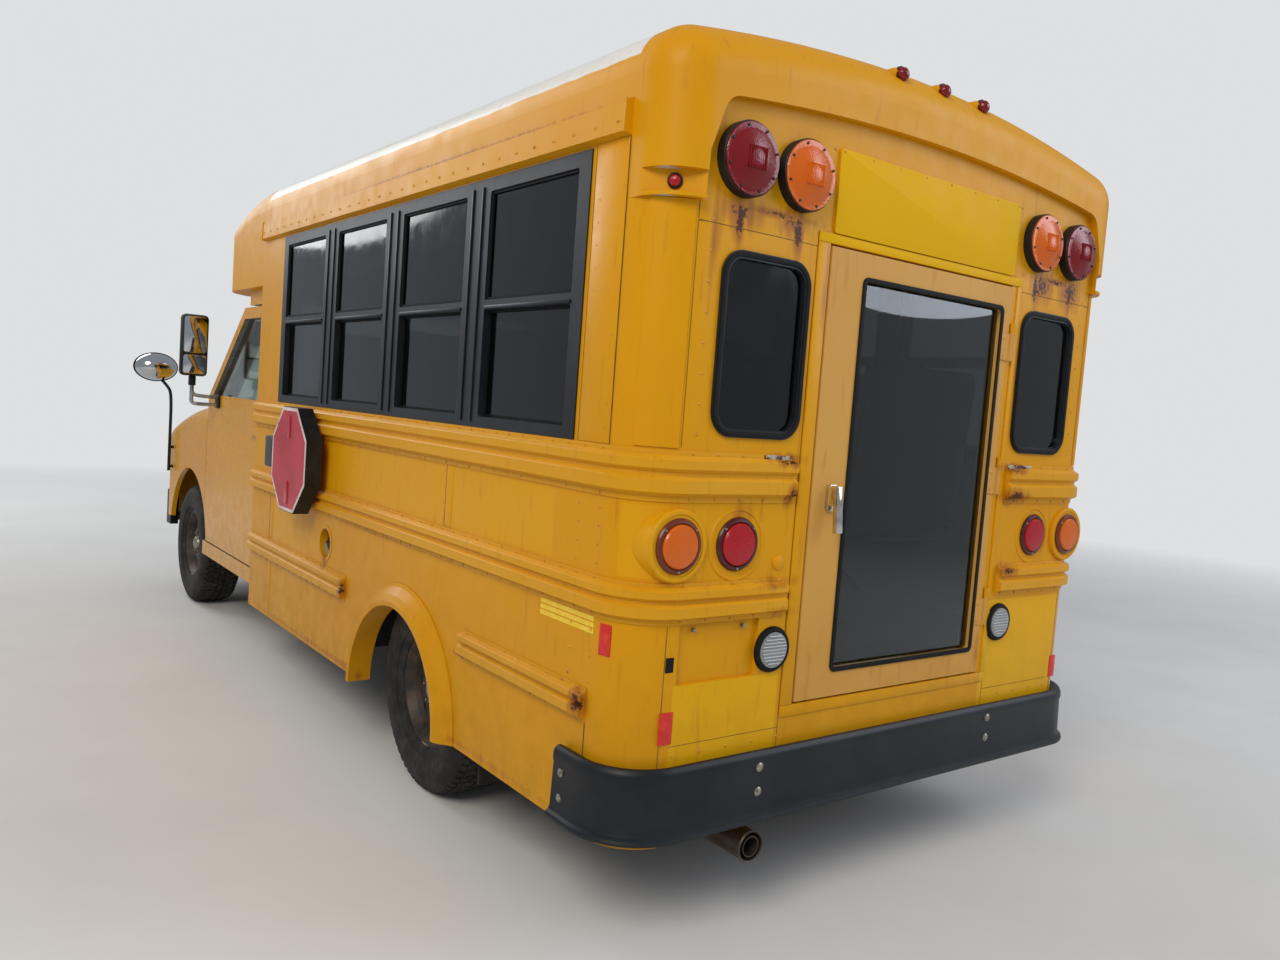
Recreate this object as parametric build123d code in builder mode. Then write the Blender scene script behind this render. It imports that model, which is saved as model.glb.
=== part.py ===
from build123d import *
import os
from math import sqrt

os.makedirs("parts", exist_ok=True)

# A short school bus on a cutaway van chassis, in mm: X to its left, Y to its rear, Z up from the ground.
# Y = 0 is the middle of its length and X = 0 its centre plane.

# Body
rear_face_y = 2815          # outer face of the rear wall
body_front_y = -465         # where the body meets the cab
body_half = 1050            # half the width over the side walls
wall = 45                   # side and rear walls, outer skin to inner lining
skirt_z = 300               # lower edge of the walls
roof_split_z = 2149         # upper edge of the side walls
edge_z = 2418               # where the crown would meet the side
roof_top_z = 2520
roof_edge_r = 135           # between crown and side
corner_r = 150              # rear corners in plan
brow = 25                   # how far the rear cap's brow stands out over the lamp panel
cap_low_z = 1990            # lower edge of the rear cap
floor_z = 700               # top of the floor
floor_t = 60
seat_gap = 0.3              # between a piece and what carries it
swing_gap = 6               # between a moving panel and its frame

rear_seam_y = rear_face_y - corner_r
inner_half = body_half - wall
inner_rear_y = rear_face_y - wall

# Wheels
front_axle_y = -2026
rear_axle_y = 1505
tyre_r = 375
tyre_w = 245
rim_r = 203
wheel_x = inner_half - 139  # centre of a tyre
kingpin_x = wheel_x - 76
spindle_r = 28
run_gap = 0.05

# Side windows
window_count = 4
window_y = -85              # front edge of the first opening
window_pitch = 663
window_w = 560
window_low_z = 1364
window_high_z = 2127
frame_t = 28                # width of a sash frame seen from outside

# Rear door
door_half = 442.5
door_low_z = 640
door_high_z = 1950
door_proud = 6
pane_t = 5
barrel_r = 8
barrel_h = 90
barrel_zs = (850, 1300, 1750)   # middles of the rear door's hinge barrels
rear_pin = (-door_half - 12, rear_face_y + door_proud + 4)

# Cab
cab_step = 44               # how far the cab stands in from the body
cab_half = body_half - cab_step
cab_front_y = -2800
door_front_y = -1617
belt_z = 1320
rocker_z = 465
glass_low_z = 1310
glass_high_z = 1930
glass_base_y = -1640        # at the side; the middle stands forward by the bow
glass_bow = 140
glass_run = 850             # how far the top lies behind the base
arch_r = 475                # front wheel arch
arch_z = 385
post_inner_x = cab_half - 146   # windscreen posts, and the frame the driver's door shuts against
post_outer_x = cab_half - 76
glass_half = post_inner_x
post_t = 45
cap_turn_y = -955           # where the front cap starts to turn in plan
right_front_y = -1250       # front edge of the right wall, beside the cab


def at_x(x):
    """YZ plane at x: local x is Y, local y is Z, and it extrudes towards +X."""
    return Plane.YZ.offset(x)


def at_y(y):
    """XZ plane at y: local x is X, local y is Z, and it extrudes towards the front."""
    return Plane.XZ.offset(-y)


def at_z(z):
    """XY plane at height z."""
    return Plane.XY.offset(z)


def block(x, y, z, mode=Mode.ADD):
    """A box from pairs of limits along each axis."""
    with Locations(((x[0] + x[1]) / 2, (y[0] + y[1]) / 2, (z[0] + z[1]) / 2)):
        Box(abs(x[1] - x[0]), abs(y[1] - y[0]), abs(z[1] - z[0]), mode=mode)


def prism(plane, points, amount, mode=Mode.ADD):
    """A straight prism on a closed outline of points."""
    with BuildSketch(plane) as outline:
        with BuildLine():
            Polyline(*points, close=True)
        make_face()
    extrude(outline.sketch, amount=amount, mode=mode)


def rod(start, end, radius, mode=Mode.ADD):
    """A round bar between two points."""
    line = Vector(*end) - Vector(*start)
    with BuildSketch(Plane(origin=start, z_dir=line)) as disc:
        Circle(radius)
    extrude(disc.sketch, amount=line.length, mode=mode)


def rounded(plane, low, high, radius, amount, mode=Mode.ADD):
    """A prism on a rounded rectangle between two corners."""
    with BuildSketch(plane) as outline:
        with Locations(((low[0] + high[0]) / 2, (low[1] + high[1]) / 2)):
            RectangleRounded(high[0] - low[0], high[1] - low[1], radius)
    extrude(outline.sketch, amount=amount, mode=mode)


def body_section(plane, inset, low_z):
    """The body's cross-section, set in by a wall, above a height."""
    half = body_half - inset
    with BuildSketch(plane) as section:
        with BuildLine():
            Polyline((-half, edge_z - inset), (-half, low_z), (half, low_z), (half, edge_z - inset))
            ThreePointArc((half, edge_z - inset), (0, roof_top_z - inset), (-half, edge_z - inset))
        make_face()
        fillet(section.vertices().group_by(Axis.Y)[-1], roof_edge_r - inset)
    return section.sketch


def rear_plan(plane, inset, front_y):
    """The body's plan behind front_y, with its round rear corners, set in by a wall."""
    half = body_half - inset
    back = rear_face_y - inset
    with BuildSketch(plane) as plan:
        with BuildLine():
            Polyline((-half, back), (-half, front_y), (half, front_y), (half, back), close=True)
        make_face()
        fillet(plan.vertices().group_by(Axis.Y)[-1], corner_r - inset)
    return plan.sketch


def hinge_stack(pin, radius, bands, strap_x, strap_y):
    """Hinge barrels on an upright pin line, each with a strap to the panel that it belongs to."""
    for low, high in bands:
        rod((*pin, low), (*pin, high), radius)
        block(strap_x, strap_y, (low, high))


def save(piece, name):
    """Label one piece and write it."""
    piece.part.label = name
    export_step(piece.part, f"parts/{name}.step")


# Chassis frame: two channel rails and the members between them
rail_x = 430
rail_w = 65
rail_high_z = floor_z - floor_t
rail_h = 140
rail_t = 8
rail_front_y = -2680
rail_rear_y = 2700
rail_low_z = rail_high_z - rail_h
member_ys = (-2600, -1500, -500, 860, 2180, 2600)
member_w = 70
member_drop = 20            # members' top, below the rails' top
member_rise = 30            # members' foot, above the rails' foot
member_t = 6

with BuildPart() as chassis_frame:
    prism(
        at_y(rail_rear_y),
        [
            (rail_x + rail_w / 2, rail_low_z), (rail_x + rail_w / 2, rail_high_z),
            (rail_x - rail_w / 2, rail_high_z), (rail_x - rail_w / 2, rail_high_z - rail_t),
            (rail_x + rail_w / 2 - rail_t, rail_high_z - rail_t),
            (rail_x + rail_w / 2 - rail_t, rail_low_z + rail_t),
            (rail_x - rail_w / 2, rail_low_z + rail_t), (rail_x - rail_w / 2, rail_low_z),
        ],
        rail_rear_y - rail_front_y,
    )
    mirror(about=Plane.YZ)
    reach = rail_x + rail_w / 2 - rail_t
    for y in member_ys:
        low = rail_low_z + member_rise
        high = rail_high_z - member_drop
        block((-reach, reach), (y - member_w / 2, y + member_w / 2), (low, high))
        block((-reach + rail_w, reach - rail_w), (y - member_w / 2 + member_t, y + member_w / 2 - member_t),
              (low, high - member_t), mode=Mode.SUBTRACT)
save(chassis_frame, "chassis_frame")

# Engine and gearbox as one plain block
engine_half = 270
engine_y = (-2480, -1760)
engine_z = (520, 1020)
gearbox_half = 170
with BuildPart() as engine_block:
    block((-engine_half, engine_half), engine_y, engine_z)
    block((-gearbox_half, gearbox_half), (engine_y[1], member_ys[1] + member_w / 2),
          (rail_low_z + 20, rail_high_z - 20))
    add(chassis_frame.part, mode=Mode.SUBTRACT)
save(engine_block, "engine_block")

# Rear axle: tube, differential, spindles, leaf springs and the drive shaft
axle_tube_r = 45
axle_end_x = wheel_x - 166
spindle_end_x = wheel_x + 40
differential_r = 130
pinion_r = 60
pinion_l = 230
shaft_r = 38
brake_r = 150
brake_w = 30
spring_x = rail_x + rail_w / 2 + 45
spring_w = 65
spring_reach = 640
spring_eye_z = rail_low_z - 10
spring_end_t = 18
spring_mid_t = 40
hanger_half = 35
with BuildPart() as rear_axle:
    rod((-axle_end_x, rear_axle_y, tyre_r), (axle_end_x, rear_axle_y, tyre_r), axle_tube_r)
    with Locations((0, rear_axle_y, tyre_r)):
        Sphere(differential_r)
    rod((0, rear_axle_y - pinion_l, tyre_r + 10), (0, rear_axle_y, tyre_r), pinion_r)
    rod((0, member_ys[1] + member_w / 2 + 8, rail_low_z + 60), (0, rear_axle_y - pinion_l + 5, tyre_r + 10), shaft_r)
    add(chassis_frame.part, mode=Mode.SUBTRACT)
    for side in (-1, 1):
        rod((side * axle_end_x, rear_axle_y, tyre_r), (side * spindle_end_x, rear_axle_y, tyre_r), spindle_r)
        rod((side * (axle_end_x - brake_w), rear_axle_y, tyre_r), (side * axle_end_x, rear_axle_y, tyre_r), brake_r)
        low = tyre_r + axle_tube_r - 5
        with BuildSketch(at_x(side * spring_x - spring_w / 2)) as leaves:
            with BuildLine():
                ThreePointArc((rear_axle_y - spring_reach, spring_eye_z), (rear_axle_y, low),
                              (rear_axle_y + spring_reach, spring_eye_z))
                Line((rear_axle_y + spring_reach, spring_eye_z), (rear_axle_y + spring_reach, spring_eye_z + spring_end_t))
                ThreePointArc((rear_axle_y + spring_reach, spring_eye_z + spring_end_t),
                              (rear_axle_y, low + spring_mid_t),
                              (rear_axle_y - spring_reach, spring_eye_z + spring_end_t))
                Line((rear_axle_y - spring_reach, spring_eye_z + spring_end_t), (rear_axle_y - spring_reach, spring_eye_z))
            make_face()
        extrude(leaves.sketch, amount=spring_w)
        for end in (-1, 1):
            eye_y = rear_axle_y + end * spring_reach
            block((side * (rail_x + rail_w / 2 + seat_gap), side * (spring_x + spring_w / 2)),
                  (eye_y - hanger_half, eye_y + hanger_half), (spring_eye_z - 20, rail_high_z - 30))
save(rear_axle, "rear_axle")

# Front suspension: cross beam and two control arms on each side
beam_half = 360
beam_w = 220
beam_z = (270, 380)
saddle_half = 450
saddle_w = 120
arm_in_x = 340
arm_in_half = 150
eye_r = 22
arm_z_bands = ((245, 275), (470, 495))
with BuildPart() as front_suspension:
    block((-beam_half, beam_half), (front_axle_y - beam_w / 2, front_axle_y + beam_w / 2), beam_z)
    block((-saddle_half, saddle_half), (front_axle_y - saddle_w / 2, front_axle_y + saddle_w / 2),
          (beam_z[1], rail_low_z))
    for side in (-1, 1):
        for low, high in arm_z_bands:
            prism(at_z(low), [(side * arm_in_x, front_axle_y - arm_in_half),
                              (side * arm_in_x, front_axle_y + arm_in_half),
                              (side * kingpin_x, front_axle_y + eye_r), (side * kingpin_x, front_axle_y - eye_r)],
                  high - low)
            rod((side * kingpin_x, front_axle_y, low), (side * kingpin_x, front_axle_y, high), eye_r)
save(front_suspension, "front_suspension")

# Knuckles: an upright between the control arms, with a brake disc and the spindle
upright_half = 34
brake_x = (30, 48)          # brake disc, outboard of the kingpin
for name, side in (("left_knuckle", 1), ("right_knuckle", -1)):
    with BuildPart() as knuckle:
        block((side * (kingpin_x - 30), side * (kingpin_x + 22)),
              (front_axle_y - upright_half, front_axle_y + upright_half),
              (arm_z_bands[0][1] + seat_gap, arm_z_bands[1][0] - seat_gap))
        rod((side * (kingpin_x + 20), front_axle_y, tyre_r), (side * spindle_end_x, front_axle_y, tyre_r), spindle_r)
        rod((side * (kingpin_x + brake_x[0]), front_axle_y, tyre_r),
            (side * (kingpin_x + brake_x[1]), front_axle_y, tyre_r), brake_r)
    save(knuckle, name)

# Wheels: a plain tyre of the outer form, and a steel disc wheel with eight hand holes and its hub
rim_w = 190
rim_t = 7
disc_x = 40                 # disc, outboard of the tyre's centre
hub_r = 62
hub_start = -25              # inboard end of the hub, from the tyre's centre
hand_hole_r = 17
hand_hole_count = 8
hand_pcd_r = 140
tyre_wall_r = 60
wheel_places = (
    ("front_left", 1, front_axle_y), ("front_right", -1, front_axle_y),
    ("rear_left", 1, rear_axle_y), ("rear_right", -1, rear_axle_y),
)                           # name, side, axle
for name, side, axle_y in wheel_places:
    hub_plane = Plane(origin=(side * wheel_x, axle_y, tyre_r), x_dir=(side, 0, 0), z_dir=(0, -side, 0))
    spin = Axis((side * wheel_x, axle_y, tyre_r), (1, 0, 0))
    with BuildPart() as tyre:
        with BuildSketch(hub_plane) as ring:
            with BuildLine():
                Polyline((-rim_w / 2 + 6, rim_r + seat_gap), (rim_w / 2 - 6, rim_r + seat_gap))
                ThreePointArc((rim_w / 2 - 6, rim_r + seat_gap), (tyre_w / 2, rim_r + tyre_wall_r + 30),
                              (tyre_w / 2 - 12, tyre_r - 32))
                ThreePointArc((tyre_w / 2 - 12, tyre_r - 32), (tyre_w / 2 - 24, tyre_r - 11), (tyre_w / 2 - 42, tyre_r))
                Line((tyre_w / 2 - 42, tyre_r), (-tyre_w / 2 + 42, tyre_r))
                ThreePointArc((-tyre_w / 2 + 42, tyre_r), (-tyre_w / 2 + 24, tyre_r - 11), (-tyre_w / 2 + 12, tyre_r - 32))
                ThreePointArc((-tyre_w / 2 + 12, tyre_r - 32), (-tyre_w / 2, rim_r + tyre_wall_r + 30),
                              (-rim_w / 2 + 6, rim_r + seat_gap))
            make_face()
        revolve(ring.sketch, axis=spin)
    with BuildPart() as rim:
        with BuildSketch(hub_plane) as barrel:
            with BuildLine():
                Polyline(
                    (-rim_w / 2 - 1, rim_r + 14), (-rim_w / 2 - 1, rim_r - rim_t), (-rim_w / 2 + 60, rim_r - 32),
                    (disc_x - 12, rim_r - 32), (disc_x, rim_r - 60), (disc_x + 10, 120), (disc_x - 6, 95),
                    (disc_x - 6, spindle_r + run_gap), (disc_x + 6, spindle_r + run_gap), (disc_x + 6, 92),
                    (disc_x + 22, 118), (disc_x + 14, rim_r - 52), (disc_x + 6, rim_r - 32),
                    (rim_w / 2 - 30, rim_r - 25), (rim_w / 2 + 1, rim_r - rim_t), (rim_w / 2 + 1, rim_r + 14),
                    (rim_w / 2 - 6, rim_r + 14), (rim_w / 2 - 6, rim_r), (rim_w / 2 - 40, rim_r - 16),
                    (-rim_w / 2 + 66, rim_r - 24), (-rim_w / 2 + 6, rim_r), (-rim_w / 2 + 6, rim_r + 14),
                    close=True,
                )
            make_face()
        revolve(barrel.sketch, axis=spin)
        rod((side * (wheel_x + hub_start), axle_y, tyre_r), (side * (wheel_x + disc_x + 30), axle_y, tyre_r), hub_r)
        rod((side * (wheel_x + hub_start - 1), axle_y, tyre_r), (side * (wheel_x + disc_x + 0.5), axle_y, tyre_r),
            spindle_r + run_gap, mode=Mode.SUBTRACT)
        with BuildSketch(Plane(origin=(side * (wheel_x + disc_x - 20), axle_y, tyre_r), z_dir=(side, 0, 0))) as holes:
            with PolarLocations(hand_pcd_r, hand_hole_count):
                Circle(hand_hole_r)
        extrude(holes.sketch, amount=60, mode=Mode.SUBTRACT)
    save(rim, f"{name}_rim")
    with tyre:
        add(rim.part, mode=Mode.SUBTRACT)
    save(tyre, f"{name}_tyre")

# Floor with wheelhouses and the entrance steps
well_r = 430
well_in_x = wheel_x - 176
floor_front_y = -1604.7
step_x = -560               # inboard end of the step well
step_front_y = right_front_y + wall + seat_gap
step_rear_y = -500
step_low_z = 360
tread = 250
step_rise = (floor_z - step_low_z) / 2
sheet = 20
with BuildPart() as floor:
    block((-inner_half + seat_gap, inner_half - seat_gap), (body_front_y, inner_rear_y - seat_gap),
          (floor_z - floor_t, floor_z))
    cab_edge = post_inner_x - 1
    prism(at_z(floor_z - floor_t), [(-cab_edge, floor_front_y), (cab_edge, floor_front_y), (cab_edge, body_front_y),
                                    (-inner_half + seat_gap, body_front_y), (-inner_half + seat_gap, step_front_y),
                                    (-cab_edge, step_front_y)], floor_t)
    block((post_inner_x - seat_gap, inner_half), (body_front_y - 1, body_front_y + post_t + seat_gap),
          (floor_z - floor_t - 1, floor_z + 1), Mode.SUBTRACT)
    with BuildSketch(at_z(floor_z - floor_t - 1)) as corners:
        Rectangle(4 * body_half, 2 * inner_rear_y)
        add(rear_plan(Plane.XY, wall + seat_gap, -3000), mode=Mode.SUBTRACT)
    extrude(corners.sketch, amount=floor_t + 2, mode=Mode.SUBTRACT)
    for side in (-1, 1):
        for radius, mode in ((well_r + sheet, Mode.ADD), (well_r, Mode.SUBTRACT)):
            inset = 0 if mode == Mode.ADD else sheet
            with BuildSketch(at_x(min(side * (well_in_x + inset), side * (inner_half - seat_gap)))) as house:
                with Locations((rear_axle_y, tyre_r)):
                    Circle(radius)
                with Locations((rear_axle_y, floor_z - floor_t)):
                    Rectangle(4 * well_r, 2 * well_r, align=(Align.CENTER, Align.MAX), mode=Mode.SUBTRACT)
            extrude(house.sketch, amount=inner_half - seat_gap - well_in_x - inset, mode=mode)
    block((-body_half, step_x), (step_front_y, step_rear_y), (floor_z - floor_t - 1, floor_z + 1),
          mode=Mode.SUBTRACT)
    prism(at_y(step_rear_y), [(-inner_half + seat_gap, step_low_z), (-inner_half + seat_gap, step_low_z - sheet),
                              (step_x + sheet, step_low_z - sheet), (step_x + sheet, floor_z), (step_x, floor_z),
                              (step_x, step_low_z + step_rise), (step_x - tread, step_low_z + step_rise),
                              (step_x - tread, step_low_z)], step_rear_y - step_front_y)
save(floor, "floor")

# Side walls: window openings, wheel arch, and on the right the entrance beside the cab
rear_arch_y = 1440
rear_arch_r = 375
rear_arch_z = skirt_z
entry_front_y = -1195
entry_rear_y = -515
entry_low_z = 362
entry_high_z = 1960
entry_top_z = 2010          # top of the right wall beside the cab
leaf_pin_x = -body_half - 10
leaf_barrel_zs = (560, 1160, 1760)
leaf_pins = (("front", entry_front_y + 2, 1), ("rear", entry_rear_y - 2, -1))    # name, pin's y, way to the leaf
filler_y = 614
filler_z = 781
filler_r = 66
upper_rails = ((1222, 1356), (900, 1010))       # rub rails round the body: low, high
skirt_y = (-166, rear_arch_y - rear_arch_r - 100)
skirt_high_z = sum(upper_rails[1]) / 2
arm_y = 405                 # centre of the stop sign
arm_z = 1120


def side_wall(side, front_y):
    """One side wall with its window openings and wheel arch, into the open part."""
    block((side * inner_half, side * body_half), (front_y, rear_seam_y), (skirt_z, roof_split_z))
    start = min(side * inner_half, side * body_half) - 1
    for index in range(window_count):
        y = window_y + index * window_pitch
        rounded(at_x(start), (y, window_low_z), (y + window_w, window_high_z), 12, wall + 2, Mode.SUBTRACT)
    with BuildSketch(at_x(start)) as arch:
        with Locations((rear_arch_y, rear_arch_z)):
            Circle(rear_arch_r)
    extrude(arch.sketch, amount=wall + 2, mode=Mode.SUBTRACT)


with BuildPart() as left_wall:
    side_wall(1, body_front_y)
    block((inner_half - 1, body_half + 1), (skirt_y[0] - seat_gap, skirt_y[1] + seat_gap),
          (skirt_z - 1, skirt_high_z + seat_gap), Mode.SUBTRACT)
save(left_wall, "left_wall")

# Left skirt panel, lapped under the middle rub rail, with the filler's hole
with BuildPart() as left_skirt:
    block((inner_half, body_half), skirt_y, (skirt_z, skirt_high_z))
    rod((inner_half - 1, filler_y, filler_z), (body_half + 1, filler_y, filler_z), filler_r, Mode.SUBTRACT)
save(left_skirt, "left_skirt")

# Fuel filler pocket: a pressed cup with a flange, let into the skirt panel
pocket_t = 3
pocket_floor_x = inner_half + 6
flange_w = 13
flange_t = 2
with BuildPart() as filler_pocket:
    rod((pocket_floor_x - pocket_t, filler_y, filler_z), (body_half + seat_gap + flange_t, filler_y, filler_z),
        filler_r - seat_gap)
    rod((body_half + seat_gap, filler_y, filler_z), (body_half + seat_gap + flange_t, filler_y, filler_z),
        filler_r + flange_w)
    rod((pocket_floor_x, filler_y, filler_z), (body_half + seat_gap + flange_t + 1, filler_y, filler_z),
        filler_r - seat_gap - pocket_t, Mode.SUBTRACT)
save(filler_pocket, "filler_pocket")

with BuildPart() as right_wall:
    side_wall(-1, right_front_y)
    block((-body_half - 1, 0), (right_front_y - 1, body_front_y), (entry_top_z, roof_split_z + 1), Mode.SUBTRACT)
    for name, pin_y, way in leaf_pins:
        for z in leaf_barrel_zs:
            edge = z + barrel_h / 2 + seat_gap
            hinge_stack((leaf_pin_x, pin_y), barrel_r, [(edge, edge + 35)], (leaf_pin_x, -body_half + 1),
                        (pin_y - way * 20, pin_y))
    rounded(at_x(-body_half - 1), (entry_front_y, entry_low_z), (entry_rear_y, entry_high_z), 20, wall + 2,
            Mode.SUBTRACT)
save(right_wall, "right_wall")

# Entrance frame: the post and the lintel between the right wall and the cab
lintel_t = 20
with BuildPart() as entrance_frame:
    block((-inner_half + seat_gap, -post_outer_x - 1), (right_front_y, right_front_y + wall), (skirt_z, entry_top_z))
    block((-inner_half + seat_gap, -glass_half), (right_front_y, cap_turn_y), (entry_top_z - lintel_t, entry_top_z))
save(entrance_frame, "entrance_frame")

# Rear wall: a round-cornered shell with the door, two windows and the plate recess
rear_window = (door_half + 83.5, body_half - 215.5, 1407, 1878, 60)     # inner x, outer x, low z, high z, radius
plate_x = (body_half - 445, body_half - 160)
plate_z = (734, 910)
plate_depth = 12
plate_bolt_r = 3.2
plate_bolt_gap = 178
plate_bolt_z = 880
pod_x = body_half - 125
pod_r = 97
pod_proud = 9
tail_z = 1109
strip_t = 4                 # corner strips, between the upper rub rail and the cap
strip_z = (1362, cap_low_z - 2)
strip_start = 30            # angles from the side face round the corner
strip_arc = 45
with BuildPart() as rear_wall:
    extrude(rear_plan(at_z(skirt_z), 0, rear_seam_y), amount=cap_low_z - skirt_z)
    with BuildSketch(at_z(strip_z[0])) as strip:
        with BuildLine():
            outer = CenterArc((body_half - corner_r, rear_seam_y), corner_r + strip_t, strip_start, strip_arc)
            inner = CenterArc((body_half - corner_r, rear_seam_y), corner_r - strip_t, strip_start, strip_arc)
            Line(outer @ 0, inner @ 0)
            Line(outer @ 1, inner @ 1)
        make_face()
        mirror(about=Plane.YZ)
    extrude(strip.sketch, amount=strip_z[1] - strip_z[0])
    for side in (-1, 1):
        rod((side * pod_x, rear_seam_y, tail_z), (side * pod_x, rear_face_y + pod_proud, tail_z), pod_r)
    extrude(rear_plan(at_z(skirt_z), wall, rear_seam_y - 1), amount=cap_low_z - skirt_z, mode=Mode.SUBTRACT)
    block((-door_half - swing_gap, door_half + swing_gap), (inner_rear_y - 1, rear_face_y + 1),
          (door_low_z - swing_gap, door_high_z + swing_gap), Mode.SUBTRACT)
    for side in (-1, 1):
        inner_x, outer_x, low, high, radius = rear_window
        rounded(at_y(rear_face_y + 1), (min(side * inner_x, side * outer_x), low),
                (max(side * inner_x, side * outer_x), high), radius, wall + 2, Mode.SUBTRACT)
    rounded(at_y(rear_face_y + 1), (plate_x[0], plate_z[0]), (plate_x[1], plate_z[1]), 12, plate_depth + 1,
            Mode.SUBTRACT)
    for side in (-1, 1):
        x = (plate_x[0] + plate_x[1]) / 2 + side * plate_bolt_gap / 2
        rod((x, rear_face_y - plate_depth - 20, plate_bolt_z), (x, rear_face_y, plate_bolt_z), plate_bolt_r,
            Mode.SUBTRACT)
    for z in barrel_zs:
        edge = z + barrel_h / 2 + seat_gap
        hinge_stack(rear_pin, barrel_r, [(edge, edge + 35)], (rear_pin[0] - 22, rear_pin[0]),
                    (rear_face_y - 1, rear_pin[1]))
save(rear_wall, "rear_wall")

# Roof shell with the gutter fascia along each side
roof_front_y = -435
fascia_t = 22
fascia_high_z = 2245
with BuildPart() as roof:
    extrude(body_section(at_y(rear_seam_y), 0, roof_split_z), amount=rear_seam_y - roof_front_y)
    extrude(body_section(at_y(rear_seam_y + 1), wall, roof_split_z - 1), amount=rear_seam_y - roof_front_y + 2,
            mode=Mode.SUBTRACT)
    prism(at_y(rear_seam_y), [(body_half - 1, roof_split_z), (body_half + fascia_t, roof_split_z + 8),
                              (body_half + fascia_t, fascia_high_z - 12), (body_half - 1, fascia_high_z)],
          rear_seam_y - roof_front_y)
    prism(at_y(rear_seam_y), [(-body_half + 1, roof_split_z), (-body_half - fascia_t, roof_split_z + 8),
                              (-body_half - fascia_t, fascia_high_z - 12), (-body_half + 1, fascia_high_z)],
          rear_seam_y - roof_front_y)
save(roof, "roof")

# Rear cap: a domed end whose brow stands out over the arched lamp panel
cap_r = 130
panel_half = body_half - 120
panel_side_z = 2110
panel_top_z = 2312
header_half = door_half - 2.5           # raised plate over the door
header_top_z = 2222
header_proud = 6
marker_z = (2000, 2060)     # scoop in each corner for the marker lamp
marker_reach = 96           # from the corner's centre to the flat behind the lamp
diagonal = sqrt(0.5)
cap_back = rear_face_y + brow
marker_y = cap_back - cap_r + marker_reach * diagonal
marker_x = body_half - cap_r + marker_reach * diagonal
with BuildPart() as rear_cap:
    extrude(body_section(at_y(cap_back), 0, cap_low_z), amount=cap_back - rear_seam_y)
    back_edges = rear_cap.faces().sort_by(Axis.Y)[-1].edges().sort_by(Axis.Z)[1:]
    fillet(back_edges, cap_r)
    with BuildPart(mode=Mode.PRIVATE) as hollow:
        extrude(body_section(at_y(inner_rear_y), wall, cap_low_z - 1), amount=inner_rear_y - rear_seam_y + 1)
        fillet(hollow.faces().sort_by(Axis.Y)[-1].edges().sort_by(Axis.Z)[1:], cap_r - wall)
    add(hollow.part, mode=Mode.SUBTRACT)
    with BuildSketch(at_y(cap_back + 1)) as panel:
        with BuildLine():
            Polyline((-panel_half, panel_side_z), (-panel_half, cap_low_z - 1), (panel_half, cap_low_z - 1),
                     (panel_half, panel_side_z))
            Line((panel_half, panel_side_z), (panel_half - 50, panel_top_z - 55))
            ThreePointArc((panel_half - 50, panel_top_z - 55), (0, panel_top_z), (-panel_half + 50, panel_top_z - 55))
            Line((-panel_half + 50, panel_top_z - 55), (-panel_half, panel_side_z))
        make_face()
        fillet(panel.vertices().group_by(Axis.Y)[-1], 60)
    extrude(panel.sketch, amount=brow + 1, mode=Mode.SUBTRACT)
    rounded(at_y(rear_face_y + header_proud), (-header_half, cap_low_z), (header_half, header_top_z), 12,
            header_proud + 1)
    for side in (-1, 1):
        with Locations(Location((side * marker_x, marker_y, sum(marker_z) / 2), (0, 0, -45 * side))):
            Box(2 * cap_r, cap_r, marker_z[1] - marker_z[0], align=(Align.CENTER, Align.MIN, Align.CENTER),
                mode=Mode.SUBTRACT)
save(rear_cap, "rear_cap")

# Front cap: the roof carried down over the windscreen, turned in plan, closed below by a soffit
cap_front_y = -1255
cap_bow = 80                # how far its middle stands forward of its corners
cap_turn_r = 300
cap_dip_r = 2000            # radius of its top in side view
lip_z = glass_high_z + seat_gap
soffit_t = 20
soffit_rear_y = glass_base_y + glass_run + 60


def cap_plan(plane, inset):
    """The front cap's plan, set in by a wall."""
    half = body_half - inset
    front = cap_front_y + inset
    with BuildSketch(plane) as plan:
        with BuildLine():
            Polyline((-half, front), (-half, roof_front_y + inset * 2), (half, roof_front_y + inset * 2), (half, front))
            ThreePointArc((half, front), (0, front - cap_bow), (-half, front))
        make_face()
        fillet(plan.vertices().group_by(Axis.Y)[0], cap_turn_r - inset)
    return plan.sketch


def cap_solid(inset, low_z):
    """The front cap as a full solid, set in by a wall."""
    with BuildPart(mode=Mode.PRIVATE) as solid:
        section = body_section(at_y(roof_front_y + inset * 2), inset, low_z - 400)
        pivot = Axis((0, roof_front_y + inset * 2, roof_top_z - cap_dip_r), (1, 0, 0))
        revolve(section, axis=pivot, revolution_arc=34)
        extrude(cap_plan(at_z(low_z), inset), amount=roof_top_z - low_z, mode=Mode.INTERSECT)
    return solid.part


with BuildPart() as front_cap:
    add(cap_solid(0, lip_z))
    add(cap_solid(wall, lip_z + soffit_t), mode=Mode.SUBTRACT)
    block((-inner_half, inner_half), (soffit_rear_y, roof_front_y + 1), (lip_z - 1, roof_split_z), Mode.SUBTRACT)
    block((-body_half - 1, body_half + 1), (body_front_y, roof_front_y + 1), (lip_z - 1, roof_split_z + 1),
          Mode.SUBTRACT)
    block((-body_half - 1, -glass_half), (right_front_y - 60, roof_front_y + 1), (lip_z - 1, entry_top_z),
          Mode.SUBTRACT)
save(front_cap, "front_cap")

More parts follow.
